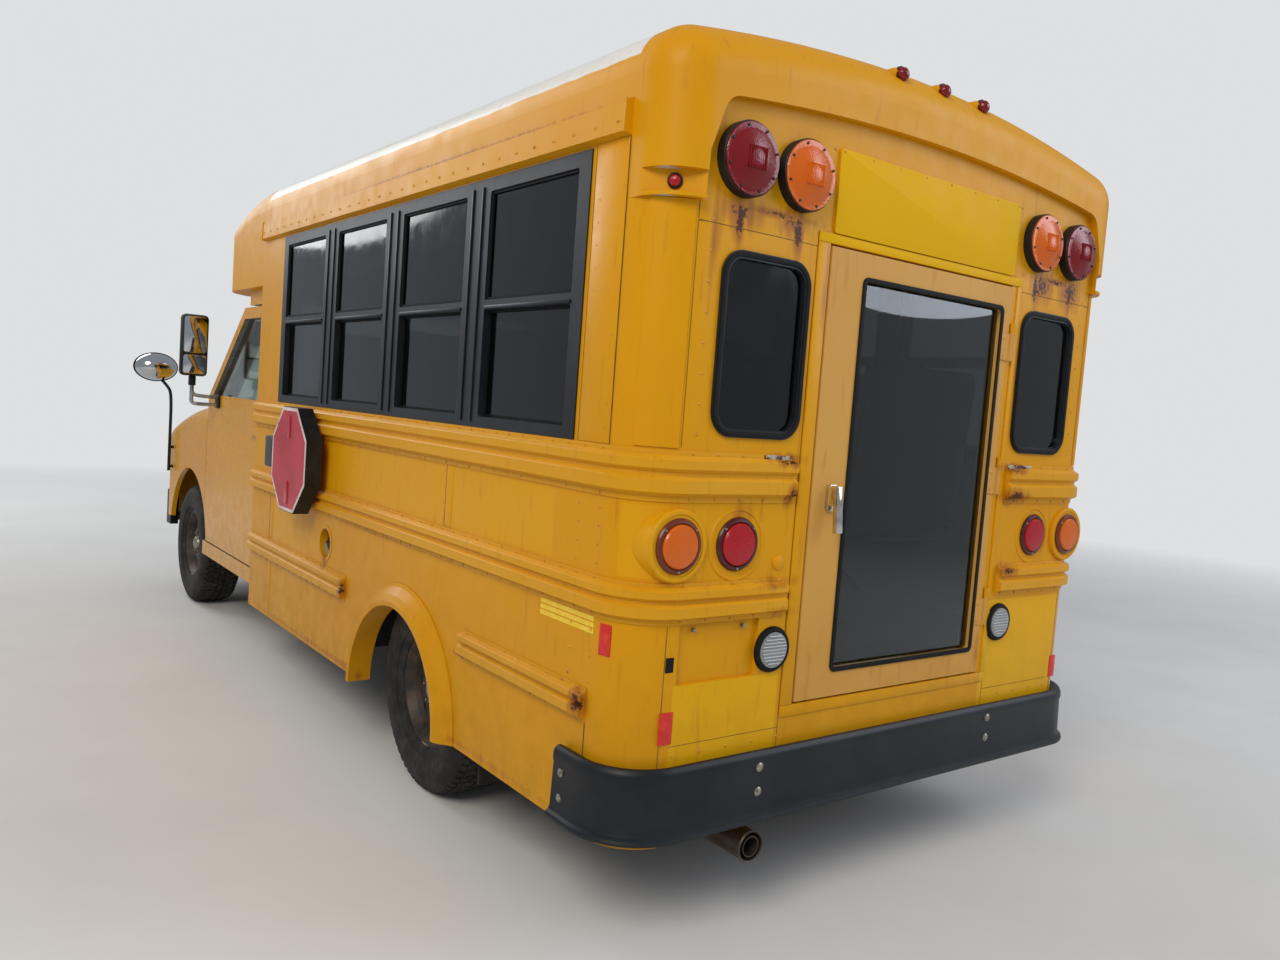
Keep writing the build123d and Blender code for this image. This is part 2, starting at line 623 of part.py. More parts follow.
# Nose: bonnet, wings and cowl are cut from one rounded shell
nose_rear_y = -1625
nose_rear_z = 1285
nose_mid = (-2230, 1205)
nose_front_z = 1050
nose_corner_r = 260
nose_edge_r = 100
nose_t = 28
hood_half = cab_half - 316
hood_front_y = -2765
hood_rear_y = -1829
hood_low_z = 945
grille_low_z = 655
hood_pin = (-1840, 1257)    # y and z of the bonnet's hinge line
hood_pin_r = 5
hood_hinge_xs = (90 - hood_half, hood_half - 90)


def nose_solid(inset):
    """The front end ahead of the door as a full solid, set in by its skin."""
    half = cab_half - inset
    front = cab_front_y + inset
    with BuildPart(mode=Mode.PRIVATE) as nose:
        with BuildSketch(at_z(0)) as plan:
            with BuildLine():
                Polyline((-half, front), (-half, nose_rear_y), (half, nose_rear_y), (half, front), close=True)
            make_face()
            fillet(plan.vertices().group_by(Axis.Y)[0], nose_corner_r - inset)
        extrude(plan.sketch, amount=1400)
        with BuildSketch(at_x(-half - 1)) as profile:
            with BuildLine():
                Polyline((front - 1, nose_front_z - inset), (front - 1, rocker_z), (nose_rear_y, rocker_z),
                         (nose_rear_y, nose_rear_z - inset))
                ThreePointArc((nose_rear_y, nose_rear_z - inset), (nose_mid[0], nose_mid[1] - inset),
                              (front - 1, nose_front_z - inset))
            make_face()
        extrude(profile.sketch, amount=2 * half + 2, mode=Mode.INTERSECT)
        top = nose.faces().sort_by(Axis.Z)[-1]
        fillet(top.edges().sort_by(Axis.Y)[:-1], nose_edge_r - inset)
    return nose.part


with BuildPart(mode=Mode.PRIVATE) as nose_shell:
    add(nose_solid(0))
    add(nose_solid(nose_t), mode=Mode.SUBTRACT)
    block((-cab_half, cab_half), (cab_front_y - 1, nose_rear_y + 1), (0, rocker_z + nose_t), Mode.SUBTRACT)

with BuildPart() as hood:
    add(nose_shell.part)
    block((-hood_half + swing_gap, hood_half - swing_gap), (cab_front_y - 1, hood_pin[0] - hood_pin_r),
          (hood_low_z + swing_gap, 1400), Mode.INTERSECT)
    for x in hood_hinge_xs:
        rod((x - 25, *hood_pin), (x, *hood_pin), hood_pin_r)
        block((x - 25, x), (hood_pin[0] - 12, hood_pin[0]), (hood_pin[1] - 4, hood_pin[1] + 4))
save(hood, "hood")

with BuildPart() as front_fenders:
    add(nose_shell.part)
    block((-hood_half, hood_half), (cab_front_y - 1, nose_rear_y + 1), (0, 1400), Mode.SUBTRACT)
    with BuildSketch(at_x(-cab_half - 1)) as arch:
        with Locations((front_axle_y, arch_z)):
            Circle(arch_r)
    extrude(arch.sketch, amount=2 * cab_half + 2, mode=Mode.SUBTRACT)
save(front_fenders, "front_fenders")

# Cab frame: cowl, firewall, windscreen posts, cant rail, door post, sills and the fixed right side panel
firewall_t = 20
post_slope = (0, glass_run, glass_high_z - glass_low_z)
post_length = sqrt(glass_run**2 + (glass_high_z - glass_low_z) ** 2)
rail_in_z = 1850
quarter_z = 1355
door_pin = (cab_half - 6, -1612)
door_pin_r = 3
door_hinge_zs = (930, 1180)
cowl_h = 95                 # ledge under the windscreen
cowl_lap = 12               # how far the ledge runs under the posts


def glass_band(plane, half, front_offset, depth):
    """A bowed band in plan, as the windscreen's foot."""
    side = glass_base_y + front_offset
    middle = glass_base_y - glass_bow + front_offset
    with BuildSketch(plane) as band:
        with BuildLine():
            ThreePointArc((-half, side), (0, middle), (half, side))
            Line((half, side), (half, side + depth))
            ThreePointArc((half, side + depth), (0, middle + depth), (-half, side + depth))
            Line((-half, side + depth), (-half, side))
        make_face()
    return band.sketch


with BuildPart() as cab_frame:
    add(nose_shell.part)
    block((-hood_half, hood_half), (hood_rear_y, nose_rear_y), (hood_low_z, 1400), Mode.INTERSECT)
    for x in hood_hinge_xs:
        rod((x + seat_gap, *hood_pin), (x + 25, *hood_pin), hood_pin_r)
        block((x + seat_gap, x + 25), (hood_pin[0], hood_pin[0] + 16), (hood_pin[1] - 4, hood_pin[1] + 4))
    block((-post_inner_x, post_inner_x), (nose_rear_y, nose_rear_y + firewall_t), (rail_high_z, 1270))
    extrude(glass_band(at_z(glass_low_z - cowl_h), glass_half + cowl_lap, -12, 45), amount=cowl_h)
    for side in (-1, 1):
        block((side * post_inner_x, side * post_outer_x), (nose_rear_y, nose_rear_y + 90), (rocker_z, glass_low_z))
        with BuildSketch(at_z(glass_low_z)) as post:
            with Locations((side * (post_inner_x + post_outer_x) / 2, nose_rear_y + 22)):
                Rectangle(post_outer_x - post_inner_x, 75)
        extrude(post.sketch, amount=post_length, dir=post_slope)
    block((post_inner_x, cab_half), (soffit_rear_y - 95, body_front_y - 1), (rail_in_z, glass_high_z))
    block((post_inner_x, inner_half - seat_gap), (body_front_y, body_front_y + post_t), (skirt_z, glass_high_z))
    block((post_inner_x, inner_half - seat_gap), (body_front_y - 1, body_front_y), (rail_in_z, glass_high_z))
    block((post_inner_x, cab_half), (nose_rear_y, body_front_y), (rocker_z - 90, rocker_z - 8))
    block((post_inner_x, post_outer_x), (nose_rear_y, body_front_y), (rocker_z - 90, floor_z - floor_t))
    for z in door_hinge_zs:
        block((post_outer_x - 1, door_pin[0] + 3), (nose_rear_y + seat_gap, door_pin[1] + 3), (z - 6, z + 6))
        rod((*door_pin, z - 30), (*door_pin, z + 30), door_pin_r)
    block((-cab_half, -cab_half + wall), (nose_rear_y, right_front_y - seat_gap), (rocker_z, quarter_z))
    block((-cab_half + wall, -post_outer_x), (nose_rear_y, right_front_y - seat_gap), (rocker_z, quarter_z - 40))
    add(front_fenders.part, mode=Mode.SUBTRACT)
save(cab_frame, "cab_frame")

# Windscreen
with BuildPart() as windshield:
    extrude(glass_band(at_z(glass_low_z + seat_gap), glass_half - seat_gap, 0, 9), amount=post_length - 1,
            dir=post_slope)
save(windshield, "windshield")

# Grille panel with its bars, and the lamps set in it
grille_half = hood_half - seat_gap
grille_high_z = hood_low_z - swing_gap
mesh_half = hood_half - 260
bar_count = 6
lamp_x = (hood_half - 220, hood_half - 25)
head_z = (745, 900)
turn_z = (680, 728)
with BuildPart() as grille:
    block((-grille_half, grille_half), (cab_front_y, cab_front_y + nose_t), (grille_low_z, grille_high_z))
    rounded(at_y(cab_front_y + nose_t + 1), (-mesh_half, grille_low_z + 30), (mesh_half, grille_high_z - 25), 20,
            nose_t + 2, Mode.SUBTRACT)
    bar_pitch = (grille_high_z - grille_low_z - 55) / (bar_count + 1)
    for index in range(bar_count):
        z = grille_low_z + 30 + bar_pitch * (index + 1)
        block((-mesh_half - 1, mesh_half + 1), (cab_front_y + 6, cab_front_y + nose_t), (z - 5, z + 5))
    for side in (-1, 1):
        for low, high in (head_z, turn_z):
            block((side * lamp_x[0], side * lamp_x[1]), (cab_front_y - 1, cab_front_y + nose_t + 1), (low, high),
                  Mode.SUBTRACT)
save(grille, "grille")

with BuildPart() as headlamps:
    for side in (-1, 1):
        for low, high in (head_z, turn_z):
            block((side * (lamp_x[0] + seat_gap), side * (lamp_x[1] - seat_gap)),
                  (cab_front_y - 5, cab_front_y + nose_t + 30), (low + seat_gap, high - seat_gap))
save(headlamps, "headlamps")

# Bumpers
bumper_front_y = -2875
bumper_half = cab_half - 21
bumper_rear_y = -2600
bumper_corner_r = 180
bumper_z = (420, 645)
bumper_t = 50
with BuildPart() as front_bumper:
    for inset, mode in ((0, Mode.ADD), (bumper_t, Mode.SUBTRACT)):
        with BuildSketch(at_z(bumper_z[0])) as plan:
            with BuildLine():
                Polyline((-bumper_half + inset, bumper_front_y + inset), (-bumper_half + inset, bumper_rear_y + inset),
                         (bumper_half - inset, bumper_rear_y + inset), (bumper_half - inset, bumper_front_y + inset),
                         close=True)
            make_face()
            fillet(plan.vertices().group_by(Axis.Y)[0], bumper_corner_r - inset)
        extrude(plan.sketch, amount=bumper_z[1] - bumper_z[0], mode=mode)
    for side in (-1, 1):
        block((side * (rail_x - 30), side * (rail_x + 30)), (bumper_front_y + bumper_t - 1, rail_front_y - seat_gap),
              (rail_low_z + 5, rail_high_z - 5))
    add(front_fenders.part, mode=Mode.SUBTRACT)
save(front_bumper, "front_bumper")

rear_bumper_z = (300, 490)
rear_bumper_proud = 60
rear_bumper_side = 28
rear_bumper_y = 2545
bumper_skin = 8
bumper_roll_r = 12
with BuildPart() as rear_bumper:
    shells = (
        (rear_bumper_side, rear_bumper_proud, 0, 0, Mode.ADD),
        (rear_bumper_side - bumper_skin, rear_bumper_proud - bumper_skin, 1, bumper_skin, Mode.SUBTRACT),
        (seat_gap, seat_gap, 1, -1, Mode.SUBTRACT),
    )                       # side and rear stand-off, depth below, depth under the top, mode
    for side_out, rear_out, below, under, mode in shells:
        half = body_half + side_out
        back = rear_face_y + rear_out
        start = rear_bumper_y - (1 if under else 0) - (bumper_skin * 2 if under < 0 else 0)
        with BuildSketch(at_z(rear_bumper_z[0] - below)) as plan:
            with BuildLine():
                Polyline((-half, back), (-half, start), (half, start), (half, back), close=True)
            make_face()
            fillet(plan.vertices().group_by(Axis.Y)[-1], corner_r + min(side_out, rear_out))
        extrude(plan.sketch, amount=rear_bumper_z[1] - rear_bumper_z[0] + below - under, mode=mode)
        if mode == Mode.ADD:
            fillet(rear_bumper.faces().sort_by(Axis.Z)[-1].edges().sort_by(Axis.Y)[1:], bumper_roll_r)
save(rear_bumper, "rear_bumper")

# Rub rails: double-ridged hat sections that wrap the rear corners
rail_depth = 24
rail_end_x = door_half + 68.5
rub_front_y = body_front_y + 5
lower_rails = ((575, 685, rub_front_y, 867), (605, 700, 1915, rear_seam_y - 25))    # low, high, front, back
with BuildPart() as rub_rails:
    out = seat_gap
    for low, high in upper_rails:
        middle = (low + high) / 2
        rise = (high - low) / 2
        with BuildSketch(at_y(rub_front_y)) as hat:
            with BuildLine():
                Polyline(
                    (body_half + out, middle - rise), (body_half + out + 4, middle - rise),
                    (body_half + out + 4, middle - rise * 0.8), (body_half + rail_depth, middle - rise * 0.62),
                    (body_half + rail_depth, middle - rise * 0.22), (body_half + 9, middle),
                    (body_half + rail_depth, middle + rise * 0.22), (body_half + rail_depth, middle + rise * 0.62),
                    (body_half + out + 4, middle + rise * 0.8), (body_half + out + 4, middle + rise),
                    (body_half + out, middle + rise), close=True,
                )
            make_face()
        with BuildLine() as wrap:
            Line((body_half + out, rub_front_y, middle), (body_half + out, rear_seam_y, middle))
            RadiusArc((body_half + out, rear_seam_y, middle), (body_half - corner_r, rear_face_y + out, middle),
                      -corner_r - out)
            Line((body_half - corner_r, rear_face_y + out, middle), (rail_end_x, rear_face_y + out, middle))
        sweep(hat.sketch, path=wrap.line)
    for low, high, front, back in lower_rails:
        prism(at_y(back), [(body_half + out, low), (body_half + out + 4, low), (body_half + rail_depth, low + 18),
                           (body_half + rail_depth, high - 18), (body_half + out + 4, high),
                           (body_half + out, high)], back - front)
    mirror(about=Plane.YZ)
    add(rear_wall.part, mode=Mode.SUBTRACT)
save(rub_rails, "rub_rails")

# Wheel flares over the rear wheels
flare_r = 455
flare_lip = 46
with BuildPart() as wheel_flares:
    with BuildSketch(at_y(rear_arch_y)) as lip:
        with BuildLine():
            Polyline(
                (body_half + seat_gap, rear_arch_z + rear_arch_r), (body_half + flare_lip, rear_arch_z + rear_arch_r),
                (body_half + flare_lip + 2, rear_arch_z + rear_arch_r + 18),
                (body_half + flare_lip - 12, rear_arch_z + rear_arch_r + 42),
                (body_half + 10, rear_arch_z + flare_r - 12), (body_half + 5, rear_arch_z + flare_r),
                (body_half + seat_gap, rear_arch_z + flare_r), close=True,
            )
        make_face()
    pivot = Axis((0, rear_arch_y, rear_arch_z), (1, 0, 0))
    revolve(lip.sketch, axis=pivot, revolution_arc=89.9)
    revolve(lip.sketch, axis=pivot, revolution_arc=-89.9)
    mirror(about=Plane.YZ)
save(wheel_flares, "wheel_flares")

# Side window frames with their post covers, and the rear windows' rubber seals
cover_t = 5
meeting_z = 1745
sash_rail = 30
pane_r = 8                  # corners of the panes and of their openings
seal_w = 10                 # how far a rear window's seal laps the wall
seal_in = 12
seal_proud = 7
with BuildPart() as window_frames:
    cover_y = (window_y - 30, window_y + (window_count - 1) * window_pitch + window_w + 30)
    block((body_half + seat_gap, body_half + cover_t), cover_y, (window_low_z - 6, window_high_z + 14))
    for index in range(window_count):
        y = window_y + index * window_pitch
        rounded(at_x(body_half - wall + 4), (y + seat_gap, window_low_z + seat_gap),
                (y + window_w - seat_gap, window_high_z - seat_gap), 12 - seat_gap, wall - 4 + cover_t)
    for index in range(window_count):
        y = window_y + index * window_pitch
        for low, high in ((window_low_z + frame_t, meeting_z - sash_rail / 2),
                          (meeting_z + sash_rail / 2, window_high_z - frame_t)):
            rounded(at_x(body_half - wall), (y + frame_t, low), (y + window_w - frame_t, high), pane_r, wall + 10,
                    Mode.SUBTRACT)
    mirror(about=Plane.YZ)
    for side in (-1, 1):
        inner_x, outer_x, low, high, radius = rear_window
        left, right = sorted((side * inner_x, side * outer_x))
        rounded(at_y(rear_face_y + seal_proud), (left - seal_w, low - seal_w), (right + seal_w, high + seal_w),
                radius + seal_w, seal_proud - seat_gap)
        rounded(at_y(rear_face_y + 1), (left + seat_gap, low + seat_gap), (right - seat_gap, high - seat_gap),
                radius - seat_gap, wall - 4)
        rounded(at_y(rear_face_y + 8), (left + seal_in, low + seal_in), (right - seal_in, high - seal_in),
                radius - seal_in, wall + 20, Mode.SUBTRACT)
save(window_frames, "window_frames")

with BuildPart() as window_glass:
    for index in range(window_count):
        y = window_y + index * window_pitch
        for low, high, depth in ((window_low_z + frame_t, meeting_z - sash_rail / 2, 24),
                                 (meeting_z + sash_rail / 2, window_high_z - frame_t, 12)):
            rounded(at_x(body_half - depth), (y + frame_t + seat_gap, low + seat_gap),
                    (y + window_w - frame_t - seat_gap, high - seat_gap), pane_r - seat_gap, pane_t)
    mirror(about=Plane.YZ)
    for side in (-1, 1):
        inner_x, outer_x, low, high, radius = rear_window
        left, right = sorted((side * inner_x, side * outer_x))
        reach = seal_in + seat_gap
        rounded(at_y(rear_face_y - 8), (left + reach, low + reach), (right - reach, high - reach), radius - reach,
                pane_t)
save(window_glass, "window_glass")

# Rear emergency door, its glass, lever handle and hinge barrels
door_inner_y = inner_rear_y + 5
door_outer_y = rear_face_y + door_proud
door_pane_x = (-390, 294)
door_pane_z = (725, 1872)
lever_x = 366
lever_z = (1150, 1275)
with BuildPart() as emergency_door:
    block((-door_half, door_half), (door_inner_y, door_outer_y), (door_low_z, door_high_z))
    rounded(at_y(door_outer_y + 1), (door_pane_x[0], door_pane_z[0]), (door_pane_x[1], door_pane_z[1]), 14,
            door_outer_y - door_inner_y + 2, Mode.SUBTRACT)
    hinge_stack(rear_pin, barrel_r, [(z - barrel_h / 2, z + barrel_h / 2) for z in barrel_zs],
                (rear_pin[0], rear_pin[0] + 34), (door_outer_y - 1, rear_pin[1]))
    rounded(at_y(door_outer_y + 14), (lever_x - 18, lever_z[1] - 60), (lever_x + 18, lever_z[1]), 10, 15)
    rod((lever_x, door_outer_y, lever_z[1] - 30), (lever_x, door_outer_y + 34, lever_z[1] - 30), 9)
    rod((lever_x, door_outer_y + 30, lever_z[1] - 20), (lever_x, door_outer_y + 40, lever_z[0]), 9)
save(emergency_door, "emergency_door")

with BuildPart() as emergency_door_glass:
    rounded(at_y(door_outer_y - 14), (door_pane_x[0] + seat_gap, door_pane_z[0] + seat_gap),
            (door_pane_x[1] - seat_gap, door_pane_z[1] - seat_gap), 14 - seat_gap, pane_t)
save(emergency_door_glass, "emergency_door_glass")

# Entrance door: two leaves hinged at their outer edges
leaf_t = 35
leaf_w = 325
leaf_rail = 45
leaf_split_z = 1090
for name, pin_y, way in leaf_pins:
    edge = pin_y + way * (swing_gap - 2)
    leaf_y = sorted((edge, edge + way * leaf_w))
    pane_y = (leaf_y[0] + leaf_rail, leaf_y[1] - leaf_rail)
    panes = ((entry_low_z + 90, leaf_split_z - 25), (leaf_split_z + 25, entry_high_z - 60))
    with BuildPart() as leaf:
        block((-body_half, -body_half + leaf_t), leaf_y, (entry_low_z + swing_gap, entry_high_z - swing_gap))
        for low, high in panes:
            rounded(at_x(-body_half - 1), (pane_y[0], low), (pane_y[1], high), 10, leaf_t + 2, Mode.SUBTRACT)
        hinge_stack((leaf_pin_x, pin_y), barrel_r, [(z - barrel_h / 2, z + barrel_h / 2) for z in leaf_barrel_zs],
                    (leaf_pin_x, -body_half + 1), (pin_y, pin_y + way * 20))
    save(leaf, f"entrance_{name}_leaf")
    with BuildPart() as leaf_glass:
        for low, high in panes:
            rounded(at_x(-body_half + 15), (pane_y[0] + seat_gap, low + seat_gap),
                    (pane_y[1] - seat_gap, high - seat_gap), 10 - seat_gap, pane_t)
    save(leaf_glass, f"entrance_{name}_glass")

# Driver's door with a sloped window frame, its glass and its mirror
cab_door_t = 60
cab_door_y = (door_front_y, body_front_y - swing_gap - 1)
cab_door_z = (rocker_z, rail_in_z - 10)
slope = (glass_high_z - glass_low_z) / glass_run
frame_w = 60
sill_z = belt_z + 25


def door_window(inset):
    """The driver's window opening, drawn in by an inset."""
    low = sill_z + inset
    high = cab_door_z[1] - frame_w - inset
    front = cab_door_y[0] + 105 + inset * 2
    back = cab_door_y[1] - frame_w - inset
    return [(front, low), (back, low), (back, high), (front + (high - low) / slope, high)]


with BuildPart() as driver_door:
    prism(at_x(cab_half - cab_door_t),
          [(cab_door_y[0], cab_door_z[0]), (cab_door_y[1], cab_door_z[0]), (cab_door_y[1], cab_door_z[1]),
           (cab_door_y[0] + (cab_door_z[1] - belt_z - 10) / slope, cab_door_z[1]),
           (cab_door_y[0], belt_z + 10)], cab_door_t)
    prism(at_x(cab_half - cab_door_t - 1), door_window(0), cab_door_t + 2, Mode.SUBTRACT)
    with BuildSketch(at_x(cab_half - cab_door_t - 1)) as arch:
        with Locations((front_axle_y, arch_z)):
            Circle(arch_r)
    extrude(arch.sketch, amount=cab_door_t + 2, mode=Mode.SUBTRACT)
    rounded(at_x(cab_half - 1), (cab_door_y[1] - 190, 1165), (cab_door_y[1] - 60, 1200), 8, 26)
    for z in door_hinge_zs:
        block((cab_half - cab_door_t - 1, cab_half + 1), (cab_door_y[0] - 1, door_pin[1] + 10), (z - 12, z + 12),
              Mode.SUBTRACT)
        rod((*door_pin, z - 31), (*door_pin, z + 31), door_pin_r + run_gap, Mode.SUBTRACT)
save(driver_door, "driver_door")

with BuildPart() as driver_door_glass:
    prism(at_x(cab_half - 30), door_window(seat_gap), pane_t)
save(driver_door_glass, "driver_door_glass")

mirror_x = (cab_half + 79, cab_half + 226)
mirror_y = -1400
mirror_z = (1450, 1800)
mirror_depth = 65
arm_r = 11
arm_zs = (1290, 1335)
arm_y_in = mirror_y + 20


def side_mirror(side, base_x):
    """One tall mirror head on two tube arms that reach in to base_x."""
    low, high = sorted((side * mirror_x[0], side * mirror_x[1]))
    rounded(at_y(mirror_y + mirror_depth), (low, mirror_z[0]), (high, mirror_z[1]), 30, mirror_depth)
    middle = (low + high) / 2
    for z in arm_zs:
        rod((side * base_x, arm_y_in, z), (middle, arm_y_in, z), arm_r)
    rod((middle, arm_y_in, arm_zs[0] - arm_r), (middle, arm_y_in, mirror_z[0] + 5), arm_r)


with BuildPart() as driver_mirror:
    side_mirror(1, cab_half + seat_gap)
save(driver_mirror, "driver_mirror")

dome_x = cab_half + 122
dome_y = -2535
dome_z = 1490
dome_half = (137, 96)       # half its width and height
dome_depth = 82
dome_edge_r = 55
pole_x = cab_half + 26
pole_y = -2490
pole_z = (800, 1315)
bracket_zs = (830, 960)
strut_r = 9
with BuildPart() as mirrors:
    for side in (-1, 1):
        with BuildPart(mode=Mode.PRIVATE) as dome:
            with BuildSketch(at_y(dome_y)) as oval:
                with Locations((side * dome_x, dome_z)):
                    Ellipse(*dome_half)
            extrude(oval.sketch, amount=-dome_depth)
            fillet(dome.edges().sort_by(Axis.Y)[-1], dome_edge_r)
        add(dome.part)
        block((side * dome_x - 20, side * dome_x + 20), (dome_y - 18, dome_y + 5), (dome_z - 50, dome_z + 50))
        rod((side * dome_x, dome_y - 10, dome_z - 45), (side * pole_x, pole_y, pole_z[1] - 5), strut_r)
        rod((side * pole_x, pole_y, pole_z[0]), (side * pole_x, pole_y, pole_z[1]), arm_r)
        for z in bracket_zs:
            rod((side * (cab_half + seat_gap), pole_y, z), (side * pole_x, pole_y, z), strut_r)
    side_mirror(-1, cab_half + seat_gap)
save(mirrors, "mirrors")

# Stop arm: an octagon on a hinged bracket between the rub rails
sign_flats = 457
sign_x = (body_half + 42, body_half + 108)
arm_hinge = (body_half + 55, 150)
ear_z = (1030, 1210)
ear_t = 15
ear_y = (60, 125)
barrel_out_r = 13
pin_r = 5
with BuildPart() as stop_arm_mount:
    block((body_half + seat_gap, body_half + 35), ear_y, ear_z)
    for low, high in ((ear_z[0], ear_z[0] + ear_t), (ear_z[1] - ear_t, ear_z[1])):
        block((body_half + seat_gap, arm_hinge[0] + barrel_out_r), (ear_y[0], arm_hinge[1] + barrel_out_r), (low, high))
    rod((*arm_hinge, ear_z[0] + 5), (*arm_hinge, ear_z[1] - 5), pin_r)
save(stop_arm_mount, "stop_arm_mount")

with BuildPart() as stop_arm:
    with BuildSketch(at_x(sign_x[0])) as octagon:
        with Locations((arm_y, arm_z)):
            RegularPolygon(sign_flats / 2, 8, major_radius=False, rotation=22.5)
    extrude(octagon.sketch, amount=sign_x[1] - sign_x[0])
    barrel_z = (ear_z[0] + ear_t + 5, ear_z[1] - ear_t - 5)
    rod((*arm_hinge, barrel_z[0]), (*arm_hinge, barrel_z[1]), barrel_out_r)
    block((arm_hinge[0] - 6, arm_hinge[0] + barrel_out_r), (arm_hinge[1], arm_y - sign_flats / 2 + 5),
          (barrel_z[0] + 20, barrel_z[1] - 20))
    rod((*arm_hinge, barrel_z[0] - 1), (*arm_hinge, barrel_z[1] + 1), pin_r + run_gap, Mode.SUBTRACT)
save(stop_arm, "stop_arm")

# Warning lamps: four behind on the lamp panel, four in front on the cap
lamp_z = 2115
lamp_base = (96, 16)        # radius, how far it stands out
lamp_lens = (80, 46)
rear_lamp_xs = (137 - panel_half, 351.5 - panel_half, panel_half - 351.5, panel_half - 137)
front_lamp_xs = (325 - body_half, 525 - body_half, body_half - 525, body_half - 325)
with BuildPart() as warning_lamps:
    for radius, proud in (lamp_base, lamp_lens):
        for x in rear_lamp_xs:
            rod((x, rear_face_y + seat_gap, lamp_z), (x, rear_face_y + proud, lamp_z), radius)
        for x in front_lamp_xs:
            rod((x, cap_front_y + 10, lamp_z), (x, cap_front_y - cap_bow - proud, lamp_z), radius)
    add(cap_solid(0, lip_z), mode=Mode.SUBTRACT)
save(warning_lamps, "warning_lamps")

# Tail, reversing and roof lamps
tail_places = (
    (pod_x, tail_z, 74, rear_face_y + pod_proud), (pod_x - 212, tail_z, 74, rear_face_y),
    (pod_x - 375, 805, 64, rear_face_y),
)                           # x, z, radius, face behind it
ring_proud = 8
lens_proud = 22
roof_lamp_xs = (-200, 0, 200)
marker_r = 15
marker_proud = 9
with BuildPart() as tail_lamps:
    for side in (-1, 1):
        near = seat_gap * diagonal
        far = marker_proud * diagonal
        marker_mid_z = sum(marker_z) / 2
        rod((side * (marker_x + near), marker_y + near, marker_mid_z),
            (side * (marker_x + far), marker_y + far, marker_mid_z), marker_r)
        for x, z, radius, base_y in tail_places:
            rod((side * x, base_y + seat_gap, z), (side * x, base_y + ring_proud, z), radius)
            rod((side * x, base_y + ring_proud - 1, z), (side * x, base_y + lens_proud, z), radius - 14)
    for x in roof_lamp_xs:
        rod((x, rear_face_y - 60, roof_top_z - 30), (x, rear_face_y - 60, roof_top_z + 12), 22)
    add(rear_cap.part, mode=Mode.SUBTRACT)
save(tail_lamps, "tail_lamps")

# Mud flaps
flap_y = rear_axle_y + well_r + 30
flap_x = (wheel_x - 131, wheel_x + 124)
flap_t = 8
flap_low_z = 185
with BuildPart() as mud_flaps:
    for side in (-1, 1):
        block((side * flap_x[0], side * flap_x[1]), (flap_y, flap_y + flap_t), (flap_low_z, rail_high_z - seat_gap))
save(mud_flaps, "mud_flaps")

# Fuel tank and exhaust
tank_rear_y = 700
tank_l = 950
tank_out_x = inner_half - 105
tank_z = (330, 600)
with BuildPart() as fuel_tank:
    rounded(at_y(tank_rear_y), (rail_x + rail_w / 2 + seat_gap, tank_z[0]), (tank_out_x, tank_z[1]), 60, tank_l)
save(fuel_tank, "fuel_tank")

pipe_r = 30
pipe_t = 3
pipe_x = -300
pipe_z = 460
tail_pipe = (616, 262)      # x and z of the tailpipe
tail_end_y = 2868
silencer_r = 85
silencer_y = (-200, 550)
hanger_ys = (-350, 620)
with BuildPart() as exhaust:
    route = [(pipe_x, member_ys[1] + 200, pipe_z), (pipe_x, 1900, pipe_z), (tail_pipe[0], 2350, 320),
             (tail_pipe[0], 2480, tail_pipe[1]), (tail_pipe[0], tail_end_y, tail_pipe[1])]
    for start, end in zip(route, route[1:]):
        rod(start, end, pipe_r)
    for corner in route[1:-1]:
        with Locations(corner):
            Sphere(pipe_r)
    rod((pipe_x, silencer_y[0], pipe_z), (pipe_x, silencer_y[1], pipe_z), silencer_r)
    rod((tail_pipe[0], 2600, tail_pipe[1]), (tail_pipe[0], tail_end_y + 1, tail_pipe[1]), pipe_r - pipe_t,
        Mode.SUBTRACT)
    for y in hanger_ys:
        block((pipe_x - 10, pipe_x + 10), (y - 10, y + 10), (pipe_z, rail_high_z - seat_gap))
save(exhaust, "exhaust")

# Dashboard with the steering column and wheel
wheel_centre = (420, -1235, 1130)
column_foot = (wheel_centre[0], -1450, 1010)
column_r = 24
wheel_r = (170, 195)        # inside and outside of the steering wheel's rim
dash_front_y = nose_rear_y + firewall_t + seat_gap
with BuildPart() as dashboard:
    prism(at_x(-post_inner_x + 1), [(dash_front_y, 930), (dash_front_y, 1250), (-1480, 1245), (-1400, 1190),
                                    (-1420, 1020), (-1500, 930)], 2 * post_inner_x - 2)
    rod(column_foot, wheel_centre, column_r)
    column = Plane(origin=wheel_centre, z_dir=Vector(*wheel_centre) - Vector(*column_foot))
    with BuildSketch(column) as ring:
        Circle(wheel_r[1])
        Circle(wheel_r[0], mode=Mode.SUBTRACT)
        with PolarLocations(0, 3):
            Rectangle(wheel_r[0] + 10, 30, align=(Align.MIN, Align.CENTER))
        Circle(55)
    extrude(ring.sketch, amount=column_r)
save(dashboard, "dashboard")

